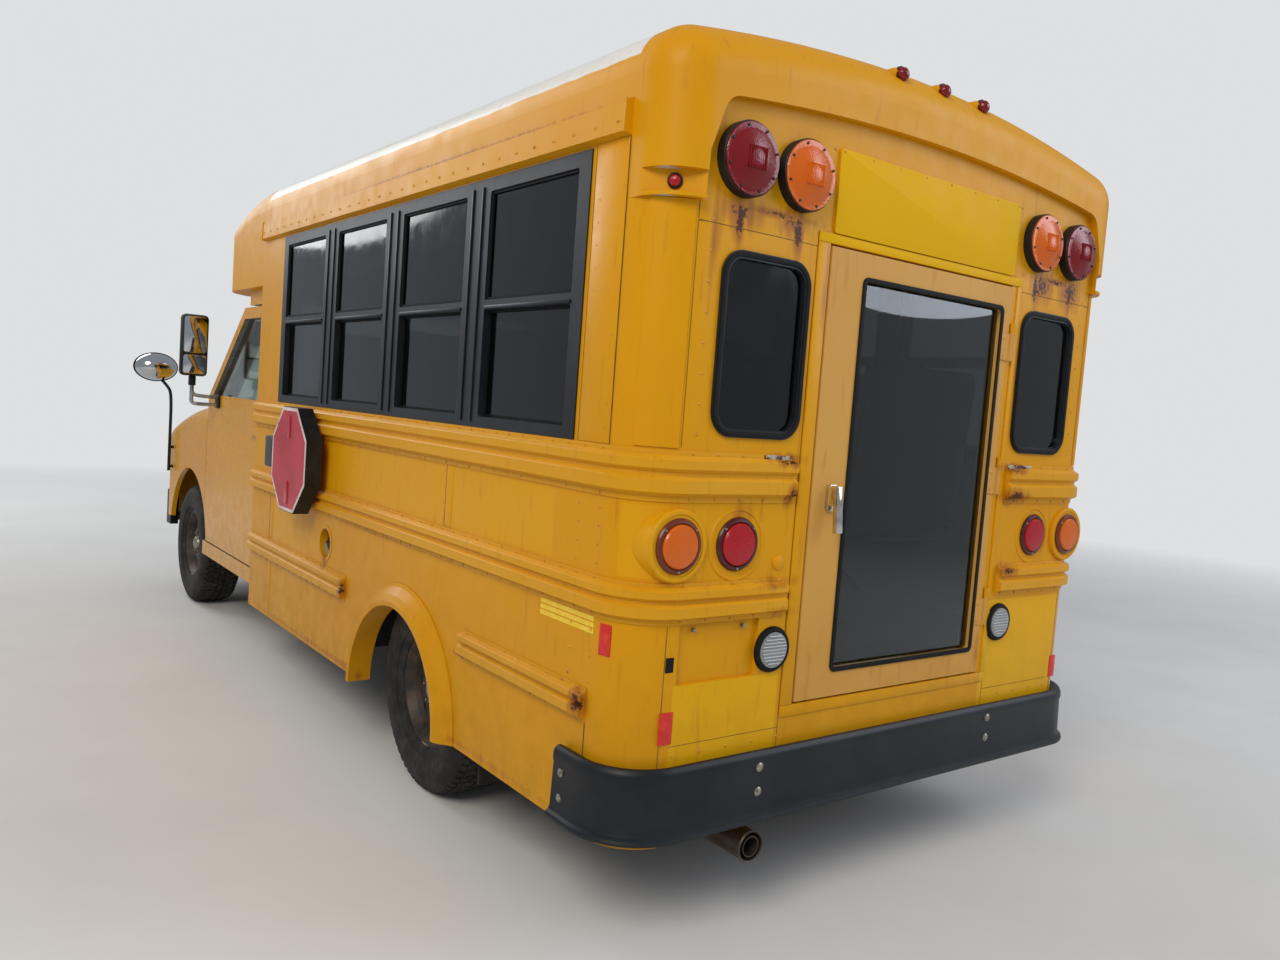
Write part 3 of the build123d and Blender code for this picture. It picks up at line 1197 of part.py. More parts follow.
# Seats: the driver's and the rows of benches
bench_ys = (260, 960, 1660, 2250)               # foot of each backrest's front
bench_x = (300, inner_half - 30)
bench_z = (1005, 1120)      # cushions
back_z = (1010, 1700)
bench_leg_w = 30
back_corner_r = 60
cushion_nose_r = 35
chair_x = (210, 650)
chair_z = (1030, 1130)
with BuildPart(mode=Mode.PRIVATE) as bench:
    prism(at_x(bench_x[0]), [(0, back_z[0]), (55, back_z[1]), (125, back_z[1]), (75, back_z[0])],
          bench_x[1] - bench_x[0])
    fillet(bench.faces().sort_by(Axis.Z)[-1].edges().filter_by(Axis.Y), back_corner_r)
    block(bench_x, (-400, 70), bench_z)
    fillet(bench.edges().filter_by(Axis.X).group_by(Axis.Y)[0], cushion_nose_r)
    block((bench_x[0], bench_x[0] + bench_leg_w), (-300, 30), (floor_z + seat_gap, bench_z[0] + 1))
    block((bench_x[1] - 1, inner_half - seat_gap), (-350, 50), (back_z[0], back_z[0] + 50))
with BuildPart() as seats:
    with Locations(*[(0, y, 0) for y in bench_ys]):
        add(bench.part)
    mirror(about=Plane.YZ)
    block(chair_x, (-1120, -640), chair_z)
    prism(at_x(chair_x[0]), [(-640, chair_z[0] + 10), (-720, chair_z[0] + 10), (-660, back_z[1]), (-580, back_z[1])],
          chair_x[1] - chair_x[0])
    block((chair_x[0] + 70, chair_x[1] - 70), (-1050, -700), (floor_z + seat_gap, chair_z[0] + 1))
save(seats, "seats")
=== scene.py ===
import math

import bmesh
import bpy
from mathutils import Matrix, Vector


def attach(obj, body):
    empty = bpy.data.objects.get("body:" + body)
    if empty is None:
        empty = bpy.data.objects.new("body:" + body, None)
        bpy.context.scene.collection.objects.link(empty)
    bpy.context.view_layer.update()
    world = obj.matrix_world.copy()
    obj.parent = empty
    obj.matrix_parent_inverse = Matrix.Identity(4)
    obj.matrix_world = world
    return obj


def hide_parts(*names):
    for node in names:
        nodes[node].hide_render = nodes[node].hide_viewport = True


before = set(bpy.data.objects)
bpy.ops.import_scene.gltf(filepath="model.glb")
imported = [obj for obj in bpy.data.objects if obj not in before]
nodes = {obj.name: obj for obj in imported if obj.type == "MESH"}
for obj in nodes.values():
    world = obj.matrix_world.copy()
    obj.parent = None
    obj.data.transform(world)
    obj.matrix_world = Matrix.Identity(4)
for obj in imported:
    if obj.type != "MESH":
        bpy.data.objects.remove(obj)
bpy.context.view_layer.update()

# A short school bus. Metres; X is to the bus's left, Y to its rear, Z up.
scene = bpy.context.scene
# The body's plan: half its width, the radius of its rear corners, its rear face
bodyHalf, cornerR, rearY = 1.050, 0.150, 2.815
acrossX, alongY, upZ = Vector((1, 0, 0)), Vector((0, 1, 0)), Vector((0, 0, 1))
letter = {1: "L", -1: "R"}  # a piece's side


# ---- the camera, floor and light

camera = {
    "place": (2.5548, 4.7886, 1.4582),
    "yaw": 142.8041, "pitch": -4.1499, "roll": 4.2351,  # degrees
    "focal": 28.04, "sensor": 36.0,                     # mm
}


def makeCamera():
    yaw, pitch, roll = (math.radians(camera[k]) for k in ("yaw", "pitch", "roll"))
    look = Vector((-math.sin(yaw) * math.cos(pitch), math.cos(yaw) * math.cos(pitch), math.sin(pitch)))
    right = look.cross(upZ).normalized()
    top = right.cross(look)
    turnedRight = right * math.cos(roll) + top * math.sin(roll)
    turnedTop = top * math.cos(roll) - right * math.sin(roll)
    data = bpy.data.cameras.new("photoCamera")
    data.sensor_width, data.lens = camera["sensor"], camera["focal"]
    data.clip_start, data.clip_end = 0.05, 300
    data.dof.use_dof = False
    eye = bpy.data.objects.new("photoCamera", data)
    eye.matrix_world = Matrix((turnedRight, turnedTop, -look)).transposed().to_4x4()
    eye.location = camera["place"]
    scene.collection.objects.link(eye)
    scene.camera = eye


makeCamera()
scene.view_settings.view_transform = "Standard"


# ---- materials

def linear(hexColour):
    parts = [int(hexColour[i:i + 2], 16) / 255 for i in (1, 3, 5)]
    return tuple(c / 12.92 if c <= 0.04045 else ((c + 0.055) / 1.055) ** 2.4 for c in parts) + (1.0,)


# One node with its settings or its operation, and its values or links; gives back the output that is used
def addNode(tree, kind, settings=None, inputs=None, out=0):
    made = tree.nodes.new("ShaderNode" + kind)
    if isinstance(settings, str):
        settings = {"operation": settings}
    for key, value in (settings or {}).items():
        setattr(made, key, value)
    for key, value in (inputs or {}).items():
        if isinstance(value, bpy.types.NodeSocket):
            tree.links.new(value, made.inputs[key])
        else:
            made.inputs[key].default_value = value
    return made.outputs[out]


def startMaterial(name):
    material = bpy.data.materials.new(name)
    material.use_nodes = True
    tree = material.node_tree
    where = addNode(tree, "TexCoord", out="Object")
    return material, tree, tree.nodes["Principled BSDF"].inputs, where


# A finish with slow patches of a second colour, and a fine grain for its bump and roughness
def plainFinish(name, colour, second, patchMm, grainMm, rough, more=()):
    look = dict(more)
    material, tree, shader, where = startMaterial(name)
    patches = addNode(tree, "TexNoise",
                      inputs={"Vector": where, "Scale": 1000 / patchMm, "Detail": 5.0, "Roughness": 0.6})
    grain = addNode(tree, "TexNoise",
                    inputs={"Vector": where, "Scale": 1000 / grainMm, "Detail": 3.0})
    share = addNode(tree, "MapRange",
                    inputs={"Value": patches, "From Min": look.get("from", 0.42), "From Max": look.get("to", 0.66)})
    mixed = addNode(tree, "Mix", {"data_type": "RGBA"}, {0: share, 6: linear(colour), 7: linear(second)}, 2)
    spread = look.get("spread", 0.06)
    uneven = addNode(tree, "MapRange",
                     inputs={"Value": grain, "From Min": 0.3, "From Max": 0.7, "To Min": rough - spread,
                             "To Max": rough + spread})
    tree.links.new(mixed, shader["Base Color"])
    tree.links.new(uneven, shader["Roughness"])
    tree.links.new(addNode(tree, "Bump",
                           inputs={"Height": grain, "Strength": look.get("bump", 0.3),
                                   "Distance": look.get("depthMm", 0.3) / 1000}, out="Normal"), shader["Normal"])
    for key, value in look.get("set", {}).items():
        shader[key].default_value = value
    return material


# Two-pack enamel on sheet steel, sprayed: orange peel, slow waves between the rivets, fade, road film and painted
# shade that darken it towards the bottom, rust runs and, on a body panel, the pale lining on its inner side
def enamel(name, look):
    material, tree, shader, where = startMaterial(name)
    place = addNode(tree, "SeparateXYZ", inputs={0: where}).node.outputs
    normal = addNode(tree, "TexCoord", out="Normal")

    # A point's place in a box, as shares of its half sizes
    def placeIn(centre, half):
        away = addNode(tree, "VectorMath", "SUBTRACT", {0: where, 1: centre})
        return addNode(tree, "VectorMath", "DIVIDE", {0: away, 1: half})

    # The greatest of the three shares: under 1 within the box
    def widestIn(centre, half):
        share = addNode(tree, "VectorMath", "ABSOLUTE", {0: placeIn(centre, half)})
        axes = addNode(tree, "SeparateXYZ", inputs={0: share}).node.outputs
        widest = addNode(tree, "Math", "MAXIMUM", {0: axes[0], 1: axes[1]})
        return addNode(tree, "Math", "MAXIMUM", {0: widest, 1: axes[2]})

    def mixed(share, first, second):
        return addNode(tree, "Mix", {"data_type": "RGBA"}, {0: share, 6: first, 7: second}, 2)

    fade = addNode(tree, "TexNoise", inputs={"Vector": where, "Scale": 1.6, "Detail": 6.0})
    faded = addNode(tree, "MapRange", inputs={"Value": fade, "From Min": 0.35, "From Max": 0.7})
    colour = mixed(faded, linear(look["colour"]), linear(look["second"]))
    for low, high, shade in look.get("repaints", ()):
        centre = [(a + b) / 2 for a, b in zip(low, high)]
        half = [(b - a) / 2 for a, b in zip(low, high)]
        widest = widestIn(centre, half)
        share = addNode(tree, "MapRange",
                        inputs={"Value": widest, "From Min": 1.0, "From Max": 0.985, "To Max": 0.85})
        colour = mixed(share, colour, linear(shade))
    if "whiteAbove" in look:  # the white top, brushed to a line a little way up the curve
        wobble = addNode(tree, "TexNoise", inputs={"Vector": where, "Scale": 9.0, "Detail": 3.0})
        edge = addNode(tree, "Math", "MULTIPLY_ADD", {0: wobble, 1: 0.012, 2: place["Z"]})
        start = look["whiteAbove"]
        share = addNode(tree, "MapRange", inputs={"Value": edge, "From Min": start, "From Max": start + 0.004})
        colour = mixed(share, colour, linear("#E9E8E4"))
    # Road film and painted shade: the paint turns darker and browner in patches towards the bottom
    patchNoise = addNode(tree, "TexNoise", inputs={"Vector": where, "Scale": 14.0, "Detail": 8.0})
    shadeAndFilmHeight = addNode(tree, "MapRange",
                          inputs={"Value": place["Z"], "From Min": 0.95, "From Max": 0.25, "To Max": 0.55})
    shadeAndFilm = addNode(tree, "Math", "MULTIPLY", {0: patchNoise, 1: shadeAndFilmHeight})
    colour = mixed(shadeAndFilm, colour, linear("#7E5A1E"))
    if look.get("rust"):
        streaks = addNode(tree, "Mapping", inputs={"Vector": where, "Scale": (1.0, 1.0, 0.13)})
        streaks = addNode(tree, "TexNoise", inputs={"Vector": streaks, "Scale": 42.0, "Detail": 6.0})
        blots = addNode(tree, "TexNoise", inputs={"Vector": where, "Scale": 75.0, "Detail": 7.0})
        total = None
        for centre, half, strength in look["rust"]:
            away = addNode(tree, "VectorMath", "LENGTH", {0: placeIn(centre, half)}, "Value")
            near = addNode(tree, "MapRange",
                           inputs={"Value": away, "From Min": 1.0, "From Max": 0.1, "To Max": strength})
            total = near if total is None else addNode(tree, "Math", "MAXIMUM", {0: total, 1: near})
        stain = addNode(tree, "Math", "ADD", {0: streaks, 1: total})
        stain = addNode(tree, "MapRange",
                        inputs={"Value": stain, "From Min": 0.60, "From Max": 1.05, "To Max": 0.88})
        hard = addNode(tree, "Math", "ADD", {0: blots, 1: total})
        hard = addNode(tree, "MapRange", inputs={"Value": hard, "From Min": 1.04, "From Max": 1.16})
        colour = mixed(stain, colour, linear("#A5611B"))
        colour = mixed(hard, colour, linear("#4E2710"))
    rough = addNode(tree, "MapRange",
                    inputs={"Value": patchNoise, "From Min": 0.3, "From Max": 0.75,
                            "To Min": look["rough"] - 0.06, "To Max": look["rough"] + 0.1})
    if "inside" in look:  # faces that look towards the middle of the body are its lining
        outward = addNode(tree, "VectorMath", "SUBTRACT", {0: where, 1: look["inside"]})
        outward = addNode(tree, "VectorMath", "MULTIPLY", {0: outward, 1: look["use"]})
        facing = addNode(tree, "VectorMath", "DOT_PRODUCT", {0: outward, 1: normal}, "Value")
        inner = addNode(tree, "Math", "LESS_THAN", {0: facing, 1: -0.02})
        if "room" in look:
            widest = widestIn(look["inside"], look["room"])
            near = addNode(tree, "Math", "LESS_THAN", {0: widest, 1: 1.0})
            inner = addNode(tree, "Math", "MULTIPLY", {0: inner, 1: near})
        colour = mixed(inner, colour, linear(look["lining"]))
    peel = addNode(tree, "TexNoise", inputs={"Vector": where, "Scale": 160.0, "Detail": 1.0})  # 6 mm peel
    waves = addNode(tree, "TexNoise", inputs={"Vector": where, "Scale": 3.2, "Detail": 1.0})   # 300 mm waves
    first = addNode(tree, "Bump", inputs={"Height": waves, "Strength": 0.5, "Distance": 0.006}, out="Normal")
    second = addNode(tree, "Bump",
                     inputs={"Height": peel, "Strength": 0.12, "Distance": 0.0006, "Normal": first}, out="Normal")
    tree.links.new(colour, shader["Base Color"])
    tree.links.new(rough, shader["Roughness"])
    tree.links.new(second, shader["Normal"])
    shader["Specular IOR Level"].default_value = look.get("gloss", 0.17)
    return material


busYellow = {"colour": "#DA9706", "second": "#DE9E0A", "rough": 0.36}
lining, paleLining = "#A9A89E", "#C9C8C0"

# Rust: centre, half size and strength of each run
rearRust = (
    *(((x, 2.83, 1.965), (0.032, 0.06, 0.10), 0.95) for x in (0.793, 0.5785, -0.5785, -0.793)),
    ((0.79, 2.83, 1.985), (0.11, 0.06, 0.075), 0.75), ((0.60, 2.83, 1.985), (0.10, 0.06, 0.06), 0.65),
    ((0.66, 2.83, 2.0), (0.26, 0.05, 0.022), 0.75), ((-0.62, 2.83, 1.975), (0.11, 0.06, 0.10), 0.8),
    ((-0.80, 2.83, 1.975), (0.11, 0.06, 0.10), 0.8), ((-0.70, 2.83, 2.0), (0.26, 0.05, 0.022), 0.8),
    ((0.55, 2.84, 1.345), (0.11, 0.05, 0.03), 0.85), ((0.53, 2.84, 1.24), (0.05, 0.05, 0.05), 0.75),
    ((0.55, 2.84, 1.0), (0.12, 0.05, 0.025), 0.6), ((0.53, 2.84, 0.91), (0.1, 0.05, 0.03), 0.55),
    ((-0.55, 2.84, 1.345), (0.12, 0.05, 0.03), 0.9), ((-0.56, 2.84, 1.24), (0.12, 0.05, 0.05), 0.85),
    ((-0.56, 2.84, 0.99), (0.1, 0.05, 0.04), 0.7), ((0.87, 2.83, 1.9), (0.03, 0.05, 0.25), 0.45),
    ((0.51, 2.83, 1.55), (0.03, 0.05, 0.3), 0.4), ((-0.52, 2.83, 1.6), (0.03, 0.05, 0.3), 0.4),
    ((-0.44, 2.83, 0.72), (0.03, 0.04, 0.12), 0.6), ((0.70, 2.83, 1.19), (0.09, 0.05, 0.05), 0.4),
    ((0.46, 2.83, 1.85), (0.02, 0.04, 0.3), 0.4),
)
sideRust = (
    ((1.07, 2.62, 0.66), (0.05, 0.05, 0.06), 0.9), ((1.07, 0.86, 0.63), (0.05, 0.05, 0.06), 0.75),
    ((1.07, 0.5, 1.222), (0.05, 1.6, 0.012), 0.4), ((1.07, 1.2, 0.9), (0.05, 1.3, 0.012), 0.4),
    ((1.07, 1.6, 2.243), (0.05, 1.4, 0.014), 0.8), ((1.0, 2.68, 2.02), (0.07, 0.08, 0.03), 0.6),
    ((1.07, 1.9, 0.61), (0.05, 0.1, 0.012), 0.8), ((1.05, 0.614, 0.70), (0.05, 0.05, 0.06), 0.55),
    ((-1.07, 2.62, 0.66), (0.05, 0.05, 0.06), 0.8), ((-1.07, 0.4, 0.9), (0.05, 1.6, 0.012), 0.45),
    ((1.05, 1.0, 0.32), (0.04, 2.2, 0.02), 0.45), ((-1.05, 1.0, 0.32), (0.04, 2.2, 0.02), 0.45),
)
patchYellow, panelYellow = "#E8B000", "#E0A20E"

materials = {
    "wallEnamel": enamel("wallEnamelOnSteelSprayed", {
        **busYellow, "inside": (0, 1.1, 1.4), "use": (1, 0, 1), "lining": lining, "room": (1.03, 4, 3),
        "rust": sideRust,
        "repaints": (((1.0, 0.565, 1.02), (1.1, 2.425, 1.212), panelYellow),
                     ((1.0, -0.135, 0.70), (1.1, 0.215, 0.885), panelYellow),
                     ((-1.1, 0.565, 1.02), (-1.0, 2.425, 1.212), panelYellow))}),
    "roofEnamel": enamel("roofEnamelOnSteelBrushedWhite", {
        **busYellow, "inside": (0, 1.1, 1.4), "use": (1, 0, 1), "lining": paleLining, "room": (1.03, 4, 1.09),
        "whiteAbove": 2.358, "rust": sideRust}),
    "rearEnamel": enamel("rearEnamelOnSteelSprayed", {
        **busYellow, "inside": (0, 1.9, 1.4), "use": (1, 1, 1), "lining": lining, "room": (1.03, 0.89, 1.2),
        "rust": rearRust,
        "repaints": (((0.51, 2.7, 0.50), (0.90, 2.85, 0.735), patchYellow),
                     ((-0.93, 2.7, 0.50), (-0.47, 2.85, 0.885), patchYellow),
                     ((0.83, 2.6, 1.02), (1.04, 2.85, 1.212), panelYellow))}),
    "capEnamel": enamel("capEnamelOnFibreglassSprayed", {
        **busYellow, "rough": 0.42, "inside": (0, 1.9, 1.9), "use": (1, 1, 1), "lining": paleLining,
        "room": (1.03, 0.89, 0.59), "rust": rearRust}),
    "frontCapEnamel": enamel("frontCapEnamelOnFibreglassSprayed", {
        **busYellow, "rough": 0.42, "inside": (0, -0.5, 2.0), "use": (1, 1, 1), "lining": paleLining,
        "room": (1.02, 0.83, 0.48)}),
    "cabEnamel": enamel("cabEnamelOnSteelBaked", {
        **busYellow, "colour": "#DB960A", "rough": 0.26, "gloss": 0.4, "inside": (0, -1.3, 1.0), "use": (1, 1, 1),
        "lining": "#77766F"}),
    "noseEnamel": enamel("noseEnamelOnSteelBaked", {**busYellow, "colour": "#DB960A", "rough": 0.26, "gloss": 0.4}),
    "railEnamel": enamel("railEnamelOnFormedSteel", {
        **busYellow, "colour": "#D99A14", "second": "#DFA328", "rust": rearRust + sideRust}),
    "doorEnamel": enamel("doorEnamelFadedOnAluminium", {
        "colour": "#CF9740", "second": "#D5A04B", "rough": 0.55, "gloss": 0.3, "rust": rearRust,
        "inside": (0, 1.9, 1.4), "use": (0, 1, 0), "lining": lining}),
    "entranceEnamel": enamel("entranceEnamelOnAluminium", {
        **busYellow, "inside": (0, -0.85, 1.2), "use": (1, 0, 0), "lining": lining}),
    "signEnamel": enamel("signPanelEnamelBrushed", {
        "colour": "#E4AE04", "second": "#E8B40A", "rough": 0.6, "gloss": 0.12}),
}

# Name, colour, second colour, patches and grain in mm, roughness
plainLooks = {
    "rivetEnamel": ("rivetEnamelWorn", "#D69208", "#7A4A18", 22, 2, 0.45, {"from": 0.5, "to": 0.72}),
    "seamDirt": ("seamSealerDirty", "#6E4A16", "#8A6018", 60, 2, 0.8),
    "bareFlake": ("bareMetalUnderFlakedPaint", "#B9B4A8", "#4A2814", 16, 2, 0.7,
        {"bump": 0.6, "depthMm": 0.6, "from": 0.45, "to": 0.55}),
    "bumperSteel": ("bumperSteelSatinEnamel", "#14171C", "#1E2329", 240, 3, 0.42,
        {"bump": 0.35, "set": {"Specular IOR Level": 0.3}}),
    "chassisSteel": ("chassisSteelDippedAndRusted", "#1C1A19", "#4A2C1A", 160, 5, 0.75,
        {"bump": 0.5, "depthMm": 0.8}),
    "engineIron": ("engineCastIron", "#3A3734", "#53402F", 120, 4, 0.7,
        {"bump": 0.6, "depthMm": 0.8, "set": {"Metallic": 0.6}}),
    "exhaustSteel": ("exhaustSteelAluminised", "#57524C", "#4A3626", 90, 3, 0.5, {"set": {"Metallic": 0.85}}),
    "tankPlastic": ("tankPolyethyleneBlowMoulded", "#18191A", "#26272A", 150, 2, 0.6),
    "tyreRubber": ("tyreRubberDusty", "#151515", "#35322D", 60, 2, 0.85, {"bump": 0.4}),
    "wheelSteel": ("wheelSteelPressedBlackEnamel", "#1E1D1C", "#4B3526", 55, 3, 0.55, {"bump": 0.3}),
    "brightSteel": ("boltSteelZincPlated", "#A9A69E", "#7B6B58", 8, 1, 0.38, {"set": {"Metallic": 0.9}}),
    "chrome": ("leverSteelChromePlated", "#D8D8D6", "#BDBBB6", 25, 1, 0.14,
        {"spread": 0.05, "bump": 0.05, "set": {"Metallic": 1.0}}),
    "armAluminium": ("armAluminiumDrawn", "#B7B8B8", "#8F9091", 40, 1, 0.34, {"set": {"Metallic": 0.95}}),
    "sashAluminium": ("sashAluminiumBlackAnodised", "#191D23", "#262C33", 200, 1.5, 0.42,
        {"bump": 0.1, "set": {"Metallic": 0.3}}),
    "gasketRubber": ("gasketRubberExtruded", "#0B0B0C", "#141414", 80, 2, 0.7,
        {"set": {"Specular IOR Level": 0.25}}),
    "blackPlastic": ("lampHousingPlasticMoulded", "#151516", "#222324", 60, 1.2, 0.5,
        {"bump": 0.25, "set": {"Specular IOR Level": 0.3}}),
    "grillePlastic": ("grillePlasticMouldedGrey", "#2A2B2D", "#37383A", 90, 1.2, 0.5),
    "dashPlastic": ("dashPlasticGrained", "#3B3A38", "#474643", 160, 1.6, 0.62, {"bump": 0.5}),
    "seatVinyl": ("seatVinylEmbossed", "#1F2429", "#2C3238", 140, 2.2, 0.5, {"bump": 0.55, "depthMm": 0.4}),
    "seatFrame": ("seatFrameSteelEnamel", "#3A3C3E", "#4A4B4C", 70, 1.5, 0.45),
    "floorRubber": ("floorRubberRibbed", "#1E1F20", "#3B3935", 170, 3, 0.75, {"bump": 0.4}),
    "flapRubber": ("flapRubberCured", "#161616", "#37332D", 90, 3, 0.8),
    "sealWhite": ("borderSheetingWhiteFadedPink", "#E6DEDB", "#D8A9A6", 130, 1, 0.4, {"bump": 0.05}),
    "signRed": ("signSheetingRedReflective", "#B01326", "#C22B3A", 160, 1, 0.35, {"bump": 0.05}),
    "reflectRed": ("tapeSheetingRedReflective", "#D0201A", "#DE3A28", 20, 1.5, 0.3, {"bump": 0.2}),
    "reflectYellow": ("tapeSheetingYellowReflective", "#F2C818", "#F6D640", 30, 1.5, 0.3, {"bump": 0.2}),
    "mirrorGlass": ("mirrorGlassSilvered", "#C9CDD0", "#BFC4C8", 90, 30, 0.06,
        {"spread": 0.02, "bump": 0.0, "set": {"Metallic": 1.0}}),
    "reflector": ("lampReflectorAluminised", "#CFD2D4", "#B8BBBE", 40, 4, 0.2, {"set": {"Metallic": 1.0}}),
}
for key, row in plainLooks.items():
    materials[key] = plainFinish(*row)


# Acrylic or glass: light goes through it, with dust on its outer skin
def clearFinish(name, colour, dust, dustMm, rough, dusty, through, ior, more=()):
    look = dict(more)
    material, tree, shader, where = startMaterial(name)
    specks = addNode(tree, "TexNoise",
                     inputs={"Vector": where, "Scale": 1000 / dustMm, "Detail": 7.0, "Roughness": 0.7})
    uneven = addNode(tree, "MapRange",
                     inputs={"Value": specks, "From Min": 0.35, "From Max": 0.75, "To Min": rough,
                             "To Max": rough + dusty})
    share = addNode(tree, "MapRange",
                    inputs={"Value": specks, "From Min": 0.5, "From Max": 0.8, "To Max": 0.25})
    mixed = addNode(tree, "Mix", {"data_type": "RGBA"}, {0: share, 6: linear(colour), 7: linear(dust)}, 2)
    tree.links.new(uneven, shader["Roughness"])
    tree.links.new(mixed, shader["Base Color"])
    if "ripple" in look:
        cells = addNode(tree, "TexVoronoi", inputs={"Vector": where, "Scale": 1000 / look["ripple"]})
        bump = addNode(tree, "Bump", inputs={"Height": cells, "Strength": 0.5, "Distance": 0.001},
                       out="Normal")
        tree.links.new(bump, shader["Normal"])
    shader["Transmission Weight"].default_value = through
    shader["IOR"].default_value = ior
    return material


# Name, colour, dust's colour and its patches in mm, roughness, how much dust adds, transmission, IOR
glassLooks = {
    "sideGlass": ("sideGlassToughenedTinted", "#3A4148", "#55574F", 70, 0.02, 0.1, 1.0, 1.5),
    "rearGlass": ("rearGlassToughenedTinted", "#8C9698", "#8B8B82", 60, 0.0, 0.03, 1.0, 1.5),
    "cabGlass": ("cabGlassLaminatedClear", "#B9C7C1", "#A9A79E", 80, 0.01, 0.1, 1.0, 1.5),
    "redLens": ("redLensPolycarbonateMoulded", "#C01020", "#7E1418", 30, 0.14, 0.14, 0.2, 1.5, {"ripple": 6}),
    "wineLens": ("wineLensPolycarbonateMoulded", "#860510", "#6E1418", 30, 0.14, 0.14, 0.15, 1.5, {"ripple": 5}),
    "redFlange": ("redFlangePolycarbonateMoulded", "#4C0A10", "#5A1C18", 20, 0.25, 0.12, 0.1, 1.5),
    "amberFlange": ("amberFlangePolycarbonateMoulded", "#6E2C10", "#7A4020", 20, 0.25, 0.12, 0.1, 1.5),
    "amberLens": ("amberLensPolycarbonateMoulded", "#EE6E04", "#D07C28", 30, 0.14, 0.14, 0.2, 1.5, {"ripple": 6}),
    "clearLens": ("clearLensPolycarbonateMoulded", "#D5D9D8", "#B9B8B0", 25, 0.08, 0.12, 0.6, 1.58, {"ripple": 6}),
}
for key, row in glassLooks.items():
    materials[key] = clearFinish(*row)
print("materials", len(materials))

# Which finish each CAD node takes
nodeFinishes = {
    "wallEnamel": ("left_wall", "right_wall", "wheel_flares", "filler_pocket", "entrance_frame",
                   "left_skirt"),
    "roofEnamel": ("roof",), "rearEnamel": ("rear_wall",), "capEnamel": ("rear_cap",),
    "frontCapEnamel": ("front_cap",), "cabEnamel": ("cab_frame", "driver_door"),
    "noseEnamel": ("hood", "front_fenders"), "railEnamel": ("rub_rails",), "doorEnamel": ("emergency_door",),
    "entranceEnamel": ("entrance_front_leaf", "entrance_rear_leaf"),
    "bumperSteel": ("front_bumper", "rear_bumper", "stop_arm_mount"),
    "chassisSteel": ("chassis_frame", "rear_axle", "front_suspension", "left_knuckle", "right_knuckle"),
    "engineIron": ("engine_block",), "exhaustSteel": ("exhaust",), "tankPlastic": ("fuel_tank",),
    "wheelSteel": ("front_left_rim", "front_right_rim", "rear_left_rim", "rear_right_rim"),
    "sashAluminium": ("window_frames",), "sideGlass": ("window_glass",), "rearGlass": ("emergency_door_glass",),
    "cabGlass": ("windshield", "driver_door_glass", "entrance_front_glass", "entrance_rear_glass"),
    "grillePlastic": ("grille",), "dashPlastic": ("dashboard",), "floorRubber": ("floor",),
    "flapRubber": ("mud_flaps",), "blackPlastic": ("stop_arm",),
}
for finishName, names in nodeFinishes.items():
    for name in names:
        for holder in nodes[name].material_slots:
            holder.material = materials[finishName]


# ---- shapes

# Puts a finished bmesh in the scene on its body
def newPiece(name, bm, finishName, body, replaced=(), sharp=32):
    bmesh.ops.remove_doubles(bm, verts=bm.verts, dist=1e-5)
    bmesh.ops.recalc_face_normals(bm, faces=bm.faces)
    mesh = bpy.data.meshes.new(name)
    bm.to_mesh(mesh)
    bm.free()
    mesh.shade_smooth()
    mesh.set_sharp_from_angle(angle=math.radians(sharp))
    mesh.materials.append(materials[finishName])
    piece = bpy.data.objects.new(name, mesh)
    scene.collection.objects.link(piece)
    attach(piece, body)
    if replaced:
        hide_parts(*replaced)
    return piece


def addBlock(bm, low, high, bevel=0.0, turn=None):
    size = Vector([abs(b - a) for a, b in zip(low, high)])  # either corner may be the lower
    middle = (Vector(high) + Vector(low)) / 2
    made = bmesh.ops.create_cube(bm, size=1.0)["verts"]
    bmesh.ops.scale(bm, vec=size, verts=made)
    if turn is not None:
        bmesh.ops.transform(bm, matrix=turn, verts=made)
    bmesh.ops.translate(bm, vec=middle, verts=made)
    if bevel:
        bmesh.ops.bevel(bm, geom=list({e for v in made for e in v.link_edges}), offset=bevel, affect="EDGES",
                        segments=2, profile=0.5, material=-1)


def addRod(bm, start, end, radius, sides=16, tip=None):
    line = Vector(end) - Vector(start)
    turn = line.to_track_quat("Z", "Y").to_matrix().to_4x4()
    return bmesh.ops.create_cone(bm, cap_ends=True, segments=sides, radius1=radius,
                                 radius2=radius if tip is None else tip, depth=line.length,
                                 matrix=Matrix.Translation((Vector(start) + Vector(end)) / 2) @ turn)["verts"]


# Spins a profile of (radius, height) pairs round an axis
def addTurned(bm, origin, axis, profile, steps=48, closed=False):
    axis = Vector(axis).normalized()
    side = axis.orthogonal().normalized()
    verts = [bm.verts.new(Vector(origin) + side * r + axis * h) for r, h in profile]
    edges = [bm.edges.new(pair) for pair in zip(verts, verts[1:])]
    if closed:
        edges.append(bm.edges.new((verts[-1], verts[0])))
    bmesh.ops.spin(bm, geom=verts + edges, cent=origin, axis=axis, angle=math.tau, steps=steps, use_merge=True)


